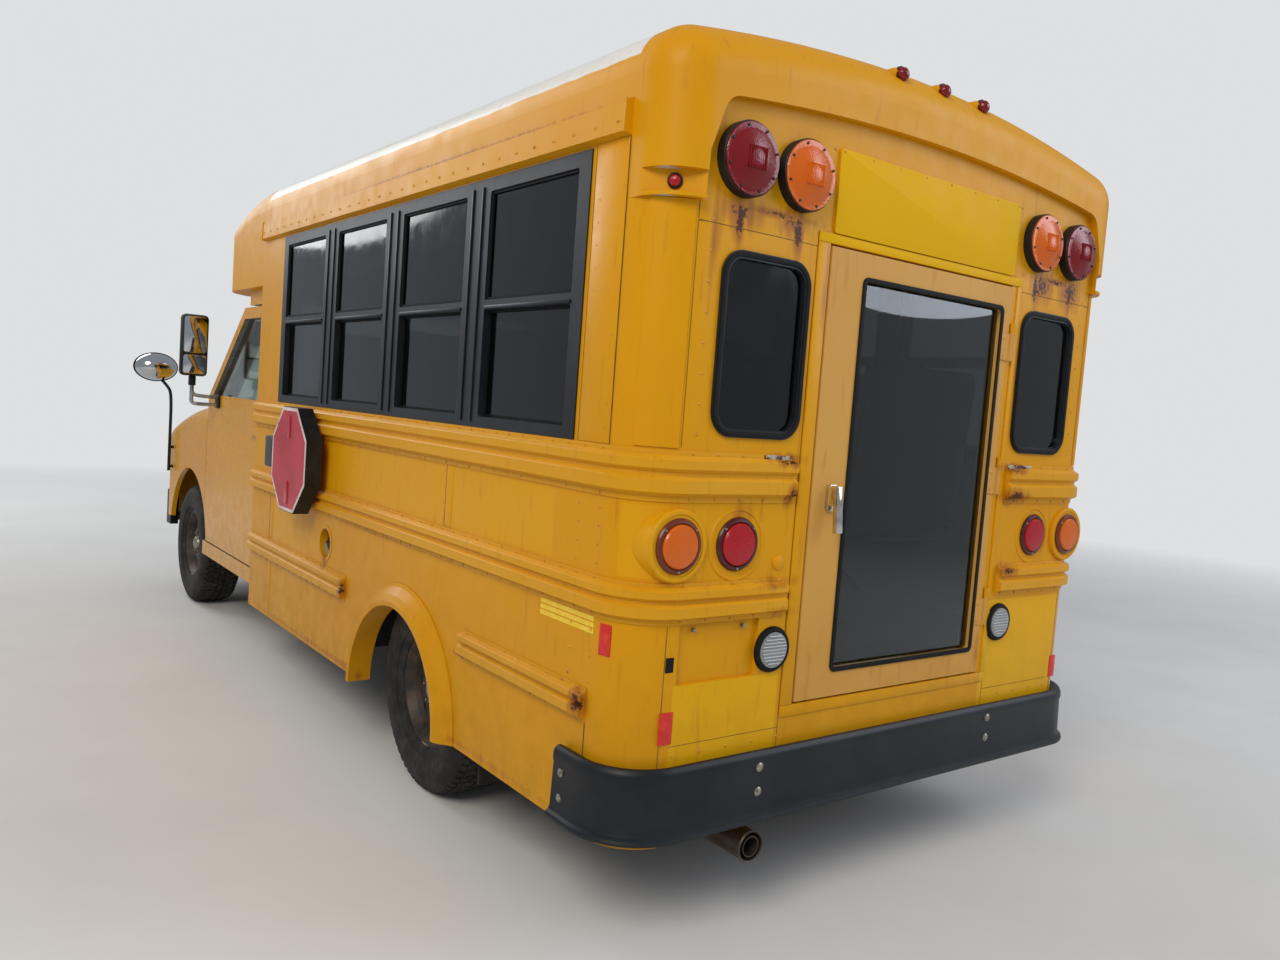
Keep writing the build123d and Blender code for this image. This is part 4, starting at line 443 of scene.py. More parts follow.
# A plate with round corners on the plane of two axes, or a ring of it, raised by its depth
def addPad(bm, centre, across, up, width, height, radius, depth, ring=0.0, edge=0.0, curve=6):
    before = set(bm.faces)
    made = bmesh.ops.create_grid(bm, x_segments=1, y_segments=1, size=0.5)["verts"]
    bmesh.ops.scale(bm, vec=(width, height, 1), verts=made)
    if radius:
        bmesh.ops.bevel(bm, geom=made, offset=radius, affect="VERTICES", segments=curve, profile=0.5, material=-1)
    faces = [f for f in bm.faces if f not in before]
    if ring:
        bmesh.ops.inset_region(bm, faces=faces, thickness=ring, use_even_offset=True, use_boundary=True)
        bmesh.ops.delete(bm, geom=faces, context="FACES")
        faces = [f for f in bm.faces if f not in before]
    raised = bmesh.ops.extrude_face_region(bm, geom=faces)["geom"]
    top = [g for g in raised if isinstance(g, bmesh.types.BMVert)]
    bmesh.ops.translate(bm, vec=(0, 0, depth), verts=top)
    if edge:
        rim = [g for g in raised if isinstance(g, bmesh.types.BMEdge) and
               sum(1 for f in g.link_faces if abs(f.normal.z) > 0.5 or f in raised) == 1]
        bmesh.ops.bevel(bm, geom=rim, offset=edge, affect="EDGES", segments=2, profile=0.5, material=-1)
    across, up = Vector(across).normalized(), Vector(up).normalized()
    place = Matrix((across, up, across.cross(up))).transposed().to_4x4()
    place.translation = Vector(centre)
    verts = list({v for f in bm.faces if f not in before for v in f.verts})
    bmesh.ops.transform(bm, matrix=place, verts=verts)


def addPlate(bm, outline, depth):
    face = bm.faces.new([bm.verts.new(p) for p in outline])
    raised = bmesh.ops.extrude_face_region(bm, geom=[face])["geom"]
    bmesh.ops.translate(bm, vec=Vector(depth), verts=[g for g in raised if isinstance(g, bmesh.types.BMVert)])


# Takes a closed section of (outward, up) pairs along a line of plan points with their outward directions
def addSweep(bm, line, section):
    loops = [[bm.verts.new((x + nx * out, y + ny * out, z)) for out, z in section] for x, y, nx, ny in line]
    for first, second in zip(loops, loops[1:]):
        for k in range(len(section)):
            after = (k + 1) % len(section)
            bm.faces.new((first[k], first[after], second[after], second[k]))
    bm.faces.new(loops[0])
    bm.faces.new(loops[-1])


# The body's plan on one side, from a place on the wall to the end of the round corner
def cornerLine(side, start):
    line, middleX, middleY = [(side * bodyHalf, start, side, 0.0)], bodyHalf - cornerR, rearY - cornerR
    for step in range(13):
        turn = math.radians(7.5 * step)
        nx, ny = side * math.cos(turn), math.sin(turn)
        line.append((side * middleX + nx * cornerR, middleY + ny * cornerR, nx, ny))
    return line


# Low domed rivet heads along a line, standing on a face
def addRivets(bm, start, end, pitch, outward, radius=0.0055, height=0.0022):
    start, end, outward = Vector(start), Vector(end), Vector(outward).normalized()
    count = max(1, round((end - start).length / pitch))
    for index in range(count + 1):
        point = start.lerp(end, index / count)
        addRod(bm, point - outward * 0.0006, point + outward * height, radius, 8, radius * 0.5)


# A tube along a smooth line through its points
def tubePiece(name, runs, radius, finishName, body):
    data = bpy.data.curves.new(name, "CURVE")
    data.dimensions, data.bevel_depth, data.bevel_resolution, data.use_fill_caps = "3D", radius, 3, True
    for points in runs:
        line = data.splines.new("NURBS")
        line.points.add(len(points) - 1)
        for point, place in zip(line.points, points):
            point.co = (*place, 1)
        line.order_u, line.use_endpoint_u = 3, True
    curve = bpy.data.objects.new(name + "Line", data)
    mesh = bpy.data.meshes.new_from_object(curve)
    bpy.data.objects.remove(curve)
    bm = bmesh.new()
    bm.from_mesh(mesh)
    newPiece(name, bm, finishName, body)


# ---- tyres: carcass with a ribbed wall, and five rows of tread lugs

tyre = {
    "x": 0.866, "frontY": -2.026, "rearY": 1.505, "z": 0.375,
    "lugCount": 62, "lugRoot": 0.3655, "lugTop": 0.375,
    "wall": ((0.089, 0.2036), (0.101, 0.208), (0.107, 0.222), (0.1135, 0.236), (0.1175, 0.2375), (0.1215, 0.262),
             (0.1222, 0.268), (0.1225, 0.295), (0.1212, 0.315), (0.1185, 0.329), (0.1125, 0.344), (0.103, 0.3555),
             (0.088, 0.3630), (0.076, 0.3657)),
    "rows": ((-0.066, 0.017, 0.2), (-0.034, 0.0125, -0.25), (0.0, 0.0125, 0.3), (0.034, 0.0125, -0.25),
             (0.066, 0.017, 0.2)),   # middle, half width, slant of a lug's ends
    "notch": ((0.0855, -0.8, 0.3625), (0.0855, 0.8, 0.3625), (0.104, 0.7, 0.3525), (0.104, -0.7, 0.3525)),
}


def makeTyre(name, side, axleY, body):
    bm = bmesh.new()
    centre = Vector((side * tyre["x"], axleY, tyre["z"]))
    wall = tyre["wall"]
    profile = [(r, x * side) for x, r in wall] + [(r, -x * side) for x, r in reversed(wall)]
    addTurned(bm, centre, acrossX, profile, 72, closed=True)
    step = math.tau / tyre["lugCount"]
    half = step * tyre["lugTop"] / 2 - 0.0028
    for row, (middle, reach, slant) in enumerate(tyre["rows"]):
        before = set(bm.verts)
        shift = slant * reach
        outline = [centre + Vector((middle + i * reach, j * half + i * shift, tyre["lugRoot"] - 0.0012))
                   for i, j in ((-1, -1), (1, -1), (1, 1), (-1, 1))]
        addPlate(bm, outline, (0, 0, tyre["lugTop"] - tyre["lugRoot"] + 0.0006))
        lug = [v for v in bm.verts if v not in before]
        bmesh.ops.rotate(bm, cent=centre, matrix=Matrix.Rotation(step * 0.37 * row, 3, "X"), verts=lug)
        geom = lug + list({e for v in lug for e in v.link_edges}) + list({f for v in lug for f in v.link_faces})
        bmesh.ops.spin(bm, geom=geom, cent=centre, axis=acrossX, angle=math.tau - step,
                       steps=tyre["lugCount"] - 1, use_duplicate=True)
    for mark in range(tyre["lugCount"]):  # shoulder notches between the lugs and the wall
        turn = Matrix.Translation(centre) @ Matrix.Rotation(step * mark, 4, "X")
        for way in (-1, 1):
            before = set(bm.verts)
            addPlate(bm, [Vector((way * x, half * y, z)) for x, y, z in tyre["notch"]], (way * 0.002, 0, 0.0075))
            bmesh.ops.transform(bm, matrix=turn, verts=[v for v in bm.verts if v not in before])
    newPiece(name + "Tyre", bm, "tyreRubber", body, (name + "_tyre",), 40)


# Nuts, a domed hub cap, the valve and a balance weight on the pressed disc
def makeWheelTrim(name, side, axleY, body):
    bm = bmesh.new()
    centre = Vector((side * tyre["x"], axleY, tyre["z"]))
    out = acrossX * side
    for index in range(8):
        turn = math.tau * index / 8
        spoke = Vector((0, math.cos(turn), math.sin(turn))) * 0.0805
        addRod(bm, centre + spoke + out * 0.044, centre + spoke + out * 0.066, 0.0125, 6)
        addRod(bm, centre + spoke + out * 0.065, centre + spoke + out * 0.076, 0.0068, 10, 0.005)
    addTurned(bm, centre, out, [(0.0, 0.0955), (0.016, 0.0955), (0.030, 0.092), (0.040, 0.084), (0.044, 0.072),
                                (0.0, 0.072)], 32)
    addRod(bm, centre + Vector((side * 0.052, 0.02, 0.155)), centre + Vector((side * 0.088, 0.026, 0.175)), 0.0045,
           10)
    addBlock(bm, centre + Vector((side * 0.094, -0.025, -0.2115)) - Vector((0.004, 0, 0)),
             centre + Vector((side * 0.094, 0.025, -0.2005)) + Vector((0.004, 0, 0)), 0.002)
    newPiece(name + "WheelNuts", bm, "brightSteel", body)


wheels = (("front_left", 1, "frontY"), ("front_right", -1, "frontY"), ("rear_left", 1, "rearY"),
          ("rear_right", -1, "rearY"))
for name, side, axle in wheels:
    makeTyre(name, side, tyre[axle], name + "_wheel")
    makeWheelTrim(name, side, tyre[axle], name + "_wheel")
print("wheels", len(wheels))


# ---- lamps

lamp = {
    "rearY": 2.8152, "frontY": -1.3352, "lampZ": 2.115, "base": 0.0965, "lens": 0.0925, "tall": 0.055,
    "rear": ((0.793, "wineLens"), (0.5785, "amberLens"), (-0.5785, "amberLens"), (-0.793, "wineLens")),
    "front": ((0.725, "wineLens"), (0.525, "amberLens"), (-0.525, "amberLens"), (-0.725, "wineLens")),
    "tail": ((0.925, 1.109, 2.824, "amberLens"), (0.713, 1.109, 2.815, "redLens"),
             (-0.925, 1.109, 2.824, "amberLens"), (-0.713, 1.109, 2.815, "redLens")),
    "reverse": ((0.550, 0.805), (-0.550, 0.805)), "reverseY": 2.8153,
    "marker": (0.9879, 2.7779, 2.030), "idLamps": (-0.2, 0.0, 0.2), "idLean": (0, 1, 0.12),
}


# A round signal lamp: a black housing, a domed lens nearly as wide with prisms, and dark screws on its rim
def addSignal(housing, lens, origin, outward):
    base, radius, tall = lamp["base"], lamp["lens"], lamp["tall"]
    outward = Vector(outward).normalized()
    addTurned(housing, origin, outward,
              [(0.0, 0.0), (base, 0.0), (base, 0.027), (base - 0.002, 0.030), (radius, 0.030), (0.0, 0.030)], 56)
    rings = [(0.0, 0.020), (radius, 0.020), (radius, 0.032), (radius - 0.002, 0.034), (radius - 0.016, 0.035)]
    for index in range(8):  # a shallow dome inside its rim
        share = index / 8
        rings.append(((radius - 0.018) * (1 - share), 0.036 + (tall - 0.036) * math.sin(share * math.pi / 2)))
    addTurned(lens, origin, outward, rings + [(0.0, tall)], 56)
    for index in range(-4, 5):  # the prisms in its middle
        foot = Vector(origin) + acrossX * index * 0.007 + outward * (tall - 0.0035)
        addRod(lens, foot - upZ * 0.028, foot + upZ * 0.028, 0.0032, 6)
    side = outward.orthogonal().normalized()
    for index in range(8):
        spoke = Matrix.Rotation(math.tau * (index / 8 + 0.05), 3, outward) @ side * (radius - 0.009)
        foot = Vector(origin) + spoke
        addRod(housing, foot + outward * 0.030, foot + outward * 0.0375, 0.0045, 8, 0.0035)


housings, screws = bmesh.new(), bmesh.new()
lenses = {key: bmesh.new() for key in ("redLens", "wineLens", "amberLens", "clearLens")}
for x, finishName in lamp["rear"]:
    addSignal(housings, lenses[finishName], (x, lamp["rearY"], lamp["lampZ"]), alongY)
for x, finishName in lamp["front"]:
    addTurned(housings, (x, lamp["frontY"] - 0.0168, lamp["lampZ"]), -alongY,
              [(0.0, -0.10), (lamp["base"], -0.10), (lamp["base"], 0.0), (0.0, 0.0)], 48)
    addSignal(housings, lenses[finishName], (x, lamp["frontY"], lamp["lampZ"]), -alongY)

tailRims = {"redFlange": bmesh.new(), "amberFlange": bmesh.new()}
tailRings = bmesh.new()
for x, z, y, finishName in lamp["tail"]:
    addTurned(tailRims[finishName.replace("Lens", "Flange")], (x, y + 0.0004, z), alongY,
              [(0.0, 0.0), (0.074, 0.0), (0.074, 0.004), (0.070, 0.0085), (0.062, 0.010), (0.058, 0.006),
               (0.0, 0.006)], 48)
    rings = [(0.0, 0.005), (0.0585, 0.005), (0.058, 0.012), (0.054, 0.0165)]
    rings += [(0.054 * (1 - k / 6), 0.0165 + 0.003 * math.sin(k / 6 * math.pi / 2)) for k in range(1, 6)]
    addTurned(lenses[finishName], (x, y, z), alongY, rings + [(0.0, 0.0195)], 48)
    for turn in (math.radians(40), math.radians(140), math.radians(270)):
        point = Vector((x + 0.066 * math.cos(turn), y + 0.0085, z + 0.066 * math.sin(turn)))
        addRod(screws, point, point + alongY * 0.004, 0.0042, 8, 0.003)
    inner, wide = (0.090, 0.012) if y < 2.82 else (0.082, 0.014)
    outer = inner + wide
    addTurned(tailRings, (x, y - 0.0002, z), alongY,
              [(inner, 0.0), (inner + 0.002, 0.0028), (outer - 0.003, 0.0032), (outer, 0.0)], 56, closed=True)
for key, bm in tailRims.items():
    newPiece("tail" + key[0].upper() + key[1:] + "s", bm, key, "bus", ("tail_lamps",))
newPiece("tailLampRings", tailRings, "rearEnamel", "bus")

grommets = bmesh.new()
for x, z in lamp["reverse"]:
    addTurned(grommets, (x, lamp["reverseY"], z), alongY,
              [(0.0, 0.0), (0.066, 0.0), (0.066, 0.005), (0.062, 0.012), (0.054, 0.0135), (0.0515, 0.008),
               (0.0, 0.007)], 48)
    addTurned(lenses["clearLens"], (x, lamp["reverseY"], z), alongY,
              [(0.0, 0.006), (0.052, 0.006), (0.051, 0.014), (0.0, 0.0165)], 48)
    for index in range(-4, 5):  # the lens's level flutes
        rise, y = index * 0.0098, lamp["reverseY"] + 0.015
        reach = math.sqrt(0.046 ** 2 - rise ** 2)
        addRod(lenses["clearLens"], (x - reach, y, z + rise), (x + reach, y, z + rise), 0.0030, 8)
newPiece("reverseLampGrommets", grommets, "gasketRubber", "bus")

idPods = bmesh.new()
for x in lamp["idLamps"]:  # pods on the cap's shoulder
    addBlock(idPods, (x - 0.034, 2.715, 2.470), (x + 0.034, 2.808, 2.502), 0.012)
    addTurned(lenses["wineLens"], (x, 2.803, 2.484), lamp["idLean"],
              [(0.0, 0.0), (0.021, 0.0), (0.021, 0.010), (0.016, 0.019), (0.008, 0.024), (0.0, 0.025)], 24)
    addTurned(housings, (x, 2.800, 2.484), lamp["idLean"],
              [(0.0, 0.0), (0.025, 0.0), (0.0245, 0.008), (0.0, 0.008)], 24)
newPiece("signalHousings", housings, "blackPlastic", "bus", ("warning_lamps",))
newPiece("roofLampPods", idPods, "capEnamel", "bus")

for side in (-1, 1):  # marker lamps in the scoops of the rear cap's corners
    out = Vector((side, 1, 0)).normalized()
    x, y, z = lamp["marker"]
    foot = Vector((side * x, y, z)) + out * 0.0003
    bezel = bmesh.new()
    addTurned(bezel, foot, out,
              [(0.0, 0.0), (0.020, 0.0), (0.0195, 0.005), (0.015, 0.0065), (0.0, 0.0065)], 28)
    newPiece("markerBezel" + letter[side], bezel, "blackPlastic", "bus")
    addTurned(lenses["redLens"], foot, out,
              [(0.0, 0.004), (0.0148, 0.004), (0.0142, 0.009), (0.010, 0.0118), (0.0, 0.0125)], 24)
for key, bm in lenses.items():
    newPiece(key + "es", bm, key, "bus")
newPiece("lampScrews", screws, "brightSteel", "bus")
print("lamps done")


# ---- seats: a cushion and a back of padded vinyl on a steel frame

bench = {"ys": (0.26, 0.96, 1.66, 2.25), "x": (0.300, 0.975), "seatZ": (1.005, 1.120), "backZ": (1.010, 1.700)}


# A crowned pad whose sides pull in between its corners
def addCushion(bm, low, high, crown, lean=0.0, cuts=(8, 8, 3)):
    before = set(bm.verts)
    addBlock(bm, low, high)
    made = [v for v in bm.verts if v not in before]
    low, high = Vector(low), Vector(high)
    middle, half = (low + high) / 2, (high - low) / 2
    for axis, count in enumerate(cuts):
        for index in range(1, count):
            normal = Vector([1 if i == axis else 0 for i in range(3)])
            point = low + normal * (high - low)[axis] * index / count
            geom = [g for g in [*bm.verts, *bm.edges, *bm.faces] if not set(
                g.verts if hasattr(g, "verts") else [g]) & before]
            bmesh.ops.bisect_plane(bm, geom=geom, plane_co=point, plane_no=normal)
    thin = min(range(3), key=lambda i: half[i])
    for v in bm.verts:
        if v in before:
            continue
        share = [(v.co[i] - middle[i]) / half[i] for i in range(3)]
        wide = [share[i] for i in range(3) if i != thin]
        round_ = (1 - abs(wide[0]) ** 4) * (1 - abs(wide[1]) ** 4)
        v.co[thin] = middle[thin] + share[thin] * (half[thin] * (0.62 + 0.38 * round_) + crown * round_ * 0.4)
        for i in range(3):
            if i != thin:
                other = [share[k] for k in range(3) if k not in (thin, i)][0]
                pull = 1 - 0.012 * (1 - other ** 2) - 0.02 * share[thin] ** 2
                v.co[i] = middle[i] + share[i] * half[i] * pull
        v.co.y += lean * (v.co.z - low.z)


# A padded piece, smoothed by one level of subdivision
def padPiece(name, low, high, crown, replaced=(), lean=0.0, cuts=(8, 8, 3)):
    bm = bmesh.new()
    addCushion(bm, low, high, crown, lean, cuts)
    piece = newPiece(name, bm, "seatVinyl", "bus", replaced, 60)
    finish = piece.modifiers.new("soften", "SUBSURF")
    finish.levels = finish.render_levels = 1


def makeBench(index, side, y):
    x0, x1 = sorted((side * bench["x"][0], side * bench["x"][1]))
    x0, x1 = x0 + 0.006, x1 - 0.006
    name = f"bench{index}{letter[side]}"
    (seatLow, seatHigh), (backLow, backHigh) = bench["seatZ"], bench["backZ"]
    padPiece(name + "Seat", (x0, y - 0.395, seatLow + 0.004), (x1, y + 0.03, seatHigh + 0.002), 0.010, ("seats",))
    padPiece(name + "Back", (x0, y + 0.006, backLow + 0.04), (x1, y + 0.076, backHigh - 0.004), 0.006,
             lean=0.075, cuts=(8, 3, 8))
    bm = bmesh.new()
    leg = side * (bench["x"][0] + 0.016)
    for legY in (y - 0.29, y + 0.02):
        addRod(bm, (leg, legY, 0.7015), (leg, legY, 1.006), 0.013, 12)
        addBlock(bm, (leg - 0.02, legY - 0.035, 0.7005), (leg + 0.02, legY + 0.035, 0.706), 0.002)
    addRod(bm, (leg, y - 0.29, 0.78), (leg, y + 0.02, 0.78), 0.010, 12)
    for railY in (y - 0.33, y - 0.02):
        addRod(bm, (side * 0.312, railY, 0.994), (side * 1.004, railY, 0.994), 0.012, 12)
    newPiece(name + "Frame", bm, "seatFrame", "bus")


for index, y in enumerate(bench["ys"]):
    for side in (-1, 1):
        makeBench(index, side, y)

padPiece("driverSeatCushion", (0.215, -1.118, 1.022), (0.645, -0.665, 1.132), 0.012)
padPiece("driverSeatBack", (0.220, -0.725, 1.06), (0.640, -0.640, 1.695), 0.010, lean=0.085, cuts=(8, 3, 8))
bm = bmesh.new()
addBlock(bm, (0.29, -1.03, 0.702), (0.57, -0.72, 0.722), 0.004)
addBlock(bm, (0.32, -1.00, 0.722), (0.54, -0.75, 0.86), 0.02)
for index in range(4):  # the suspension base's bellows
    addBlock(bm, (0.30, -1.02, 0.87 + index * 0.036), (0.56, -0.73, 0.894 + index * 0.036), 0.01)
newPiece("driverSeatBase", bm, "flapRubber", "bus")
print("seats", len(bench["ys"]) * 2 + 1)


# ---- stop sign: a red face with a white border, two lamp slots, on the black box

sign = {"x": 1.158, "innerX": 1.092, "y": 0.405, "z": 1.120, "flats": 0.457}


def octagon(half, x):
    corner = half * math.tan(math.pi / 8)
    points = [(corner, half), (half, corner), (half, -corner), (corner, -half), (-corner, -half), (-half, -corner),
              (-half, corner), (-corner, half)]
    return [Vector((x, sign["y"] + a, sign["z"] + b)) for a, b in points]


for face, x, out in (("Outer", sign["x"], 0.0012), ("Inner", sign["innerX"], -0.0012)):
    for part, inset, lift, finishName in (("Border", 0.003, 0.0, "sealWhite"), ("Face", 0.017, 0.5, "signRed")):
        bm = bmesh.new()
        addPlate(bm, octagon(sign["flats"] / 2 - inset, x + out * lift), (out, 0, 0))
        newPiece("stopSign" + part + face, bm, finishName, "stop_arm")
bm = bmesh.new()
for z in (1.262, 0.978):  # the flashing lamps' slots, one above the other
    for x, across in ((sign["x"] + 0.0012, alongY), (sign["innerX"] - 0.0012, -alongY)):
        addPad(bm, (x, sign["y"], z), across, upZ, 0.040, 0.105, 0.018, 0.004, edge=0.001)
newPiece("stopSignLamps", bm, "redLens", "stop_arm")
bm = bmesh.new()
for a in (-0.15, 0.15):
    for b in (-0.15, 0.15):
        foot = Vector((sign["x"], sign["y"] + a, sign["z"] + b))
        addRod(bm, foot, foot + acrossX * 0.005, 0.006, 10, 0.004)
newPiece("stopSignBolts", bm, "brightSteel", "stop_arm")
bm = bmesh.new()
addBlock(bm, (1.0525, -0.135, 1.046), (1.100, 0.055, 1.194), 0.008)
newPiece("stopArmMotorBox", bm, "grillePlastic", "bus")
print("stop arm done")


# ---- mirrors: two heads on drawn arms, and the domed cross-view pair on the wings

mirror = {"x": (1.085, 1.232), "y": (-1.400, -1.335), "z": (1.450, 1.800), "split": 1.576}


def makeHead(name, side, replaced):
    x0, x1 = sorted((side * mirror["x"][0], side * mirror["x"][1]))
    middle, body = (x0 + x1) / 2, "driver_door" if side > 0 else "bus"
    y0, y1 = mirror["y"]
    z0, z1 = mirror["z"]
    bm = bmesh.new()
    addBlock(bm, (x0, y0, z0), (x1, y1, z1), 0.022)
    newPiece(name + "MirrorHead", bm, "blackPlastic", body, replaced)
    bm = bmesh.new()
    for low, high in ((mirror["split"] + 0.006, z1 - 0.012), (z0 + 0.012, mirror["split"] - 0.006)):
        addPad(bm, (middle, y1 - 0.002, (low + high) / 2), -acrossX, upZ, x1 - x0 - 0.024, high - low,
               0.016, 0.0035, edge=0.001)
    newPiece(name + "MirrorGlass", bm, "mirrorGlass", body)
    armY = y0 + 0.020
    base = side * 1.0075
    xs = (base, side * 1.10, middle, middle, middle)
    rises = ((1.335, 1.335, 1.345, 1.40, 1.456), (1.290, 1.290, 1.292, 1.335, 1.39))
    tubePiece(name + "MirrorArms", [[(x, armY, z) for x, z in zip(xs, zs)] for zs in rises],
              0.0108, "armAluminium", body)
    bm = bmesh.new()
    addBlock(bm, (base, armY - 0.035, 1.272), (side * 1.022, armY + 0.035, 1.352), 0.005)
    addBlock(bm, (middle - 0.018, armY - 0.014, 1.395), (middle + 0.018, armY + 0.014, 1.45), 0.004)
    newPiece(name + "MirrorClamps", bm, "blackPlastic", body)


makeHead("driver", 1, ("driver_mirror",))
makeHead("kerb", -1, ("mirrors",))
dome = {"x": 1.128, "y": -2.535, "z": 1.490, "half": (0.137, 0.096), "poleY": -2.490, "poleX": 1.032}
for name, side in (("left", 1), ("right", -1)):
    centre = Vector((side * dome["x"], dome["y"], dome["z"]))
    bm = bmesh.new()
    bmesh.ops.create_uvsphere(bm, u_segments=40, v_segments=24, radius=1.0)
    bmesh.ops.bisect_plane(bm, geom=[*bm.verts, *bm.edges, *bm.faces], plane_co=(0, 0.02, 0), plane_no=(0, -1, 0),
                           clear_outer=True)
    bmesh.ops.holes_fill(bm, edges=[e for e in bm.edges if e.is_boundary])
    across, tall = dome["half"]
    bmesh.ops.scale(bm, vec=(across - 0.004, tall - 0.002, tall - 0.004), verts=bm.verts)
    bmesh.ops.translate(bm, vec=centre, verts=bm.verts)
    newPiece(name + "CrossViewGlass", bm, "mirrorGlass", "bus", (), 50)
    bm = bmesh.new()
    made = bmesh.ops.create_cone(bm, cap_ends=True, segments=48, radius1=1.0, radius2=1.0, depth=0.012,
                                 matrix=Matrix.Rotation(math.pi / 2, 4, "X"))["verts"]
    bmesh.ops.scale(bm, vec=(across, 1, tall), verts=made)
    bmesh.ops.translate(bm, vec=centre + alongY * 0.006, verts=made)
    addBlock(bm, centre + Vector((-0.020, -0.018, -0.05)), centre + Vector((0.020, 0.002, 0.05)), 0.004)
    newPiece(name + "CrossViewRim", bm, "gasketRubber", "bus")
    pole = side * dome["poleX"]
    tubePiece(name + "CrossViewPole", [
        [(pole, dome["poleY"], 0.80), (pole, dome["poleY"], 1.05), (pole, dome["poleY"], 1.30),
         (side * 1.05, dome["poleY"] - 0.012, 1.37), (side * dome["x"], dome["y"] - 0.010, 1.445)],
        *([(side * 1.0065, dome["poleY"], z), (pole, dome["poleY"], z)] for z in (0.830, 0.960)),
    ], 0.0100, "blackPlastic", "bus")
print("mirrors done")


# ---- rear trims

bm = bmesh.new()
addPad(bm, (0.0, rearY + 0.0062, 2.1035), -acrossX, upZ, 0.882, 0.234, 0.008, 0.0014, edge=0.0005)
addBlock(bm, (-0.496, rearY - 0.001, 1.957), (0.496, rearY + 0.0045, 1.984), 0.0012)
newPiece("signPanel", bm, "signEnamel", "bus")

bm = bmesh.new()  # gaskets round the rear windows and the door's pane
for side in (-1, 1):
    addPad(bm, (side * 0.68025, rearY + 0.0068, 1.6425), -acrossX, upZ, 0.3225, 0.4845, 0.067, 0.0035, ring=0.0145,
           edge=0.0016, curve=10)
newPiece("rearWindowGaskets", bm, "gasketRubber", "bus")
bm = bmesh.new()
addPad(bm, (-0.048, 2.8214, 1.2985), -acrossX, upZ, 0.706, 1.169, 0.022, 0.0040, ring=0.0155, edge=0.0014)
newPiece("doorPaneGasket", bm, "gasketRubber", "emergency_door")

bm = bmesh.new()  # rivets on the rear
for side in (-1, 1):
    addRivets(bm, (side * 0.50, rearY, 0.545), (side * 0.885, rearY, 0.545), 0.095, alongY)
    for x, low, high in ((0.472, 1.42, 1.93), (0.472, 0.60, 0.88), (0.885, 1.40, 1.95)):
        addRivets(bm, (side * x, rearY, low), (side * x, rearY, high), 0.075, alongY)
    addRivets(bm, (side * 0.46, rearY + 0.0016, 1.985), (side * 0.46, rearY + 0.0016, 2.215), 0.11, alongY, 0.004)
addRivets(bm, (-0.43, rearY + 0.0076, 2.213), (0.43, rearY + 0.0076, 2.213), 0.12, alongY, 0.004)
newPiece("rearRivets", bm, "rivetEnamel", "bus")

bm = bmesh.new()  # sealer lines along the laps
cornerY = 2.8119
for side in (-1, 1):
    for low, high in ((0.495, 0.896), (1.364, 1.940), (1.944, 1.988)):
        addBlock(bm, (side * 0.930 - 0.0011, cornerY - 0.003, low), (side * 0.930 + 0.0011, cornerY + 0.0005, high))
    for a, b, low, high in ((0.498, 0.929, 1.9405, 1.9425), (0.498, 0.900, 0.5705, 0.5722),
                            (0.4965, 0.4985, 0.495, 1.985)):
        addBlock(bm, (side * a, rearY - 0.003, low), (side * b, rearY + 0.0004, high))
newPiece("rearSeams", bm, "seamDirt", "bus")

bm = bmesh.new()  # the empty bracket's slot beside the plate's recess, and the painted plug over the rail
addPad(bm, (0.9145, rearY - 0.0022, 0.793), -acrossX, upZ, 0.026, 0.040, 0.002, 0.0022)
newPiece("bracketSlot", bm, "gasketRubber", "bus")
bm = bmesh.new()
addTurned(bm, (0.550, rearY, 1.052), alongY,
          [(0.0, 0.0), (0.021, 0.0), (0.019, 0.005), (0.010, 0.0085), (0.0, 0.0095)], 28)
newPiece("paintedPlug", bm, "rearEnamel", "bus")

bm = bmesh.new()  # paint flaked off along the top of the rails' ends
for low, high, z in ((0.535, 0.640, 1.350), (-0.660, -0.520, 1.351)):
    addBlock(bm, (low, rearY + 0.0030, z - 0.011), (high, rearY + 0.0052, z + 0.004), 0.0008)
newPiece("flakedPatches", bm, "bareFlake", "bus")

bm = bmesh.new()  # lap strips: the door's frame and the sill
for side in (-1, 1):
    inner = 0.4495 if side > 0 else -0.474  # clear of the opened door
    addBlock(bm, (inner, rearY - 0.001, 0.634), (side * 0.496, rearY + 0.0045, 1.956), 0.0012)
addBlock(bm, (-0.496, rearY - 0.001, 0.600), (0.496, rearY + 0.0045, 0.633), 0.0012)
newPiece("doorFrameStrips", bm, "rearEnamel", "bus")

bm = bmesh.new()  # the bumper's bolts, and the two in the plate's recess
for x in (-0.488, 0.594):
    for height in (0.412, 0.482):
        addTurned(bm, (x, rearY + 0.0385, height), alongY,
                  [(0.0, 0.0), (0.014, 0.0), (0.0135, 0.003), (0.009, 0.0062), (0.0, 0.0078)], 16)
for side in (-1, 1):
    for z in (0.39, 0.46):
        addTurned(bm, (side * 1.0885, 2.60, z), acrossX * side,
                  [(0.0, 0.0), (0.012, 0.0), (0.0115, 0.003), (0.008, 0.0055), (0.0, 0.007)], 16)
for x in (0.6585, 0.8365):
    addRod(bm, (x, rearY - 0.009, 0.880), (x, rearY - 0.001, 0.880), 0.0062, 6)
newPiece("bumperBolts", bm, "brightSteel", "bus")

bumperSection = (
    (0.002, 0.332), (0.050, 0.327), (0.056, 0.330), (0.058, 0.337), (0.055, 0.344), (0.046, 0.350), (0.042, 0.360),
    (0.038, 0.480), (0.041, 0.490), (0.041, 0.506), (0.037, 0.517), (0.030, 0.524), (0.020, 0.525), (0.002, 0.516))
bm = bmesh.new()
addSweep(bm, cornerLine(1, 2.56) + cornerLine(-1, 2.56)[::-1], bumperSection)
newPiece("rolledBumper", bm, "bumperSteel", "bus", ("rear_bumper",))

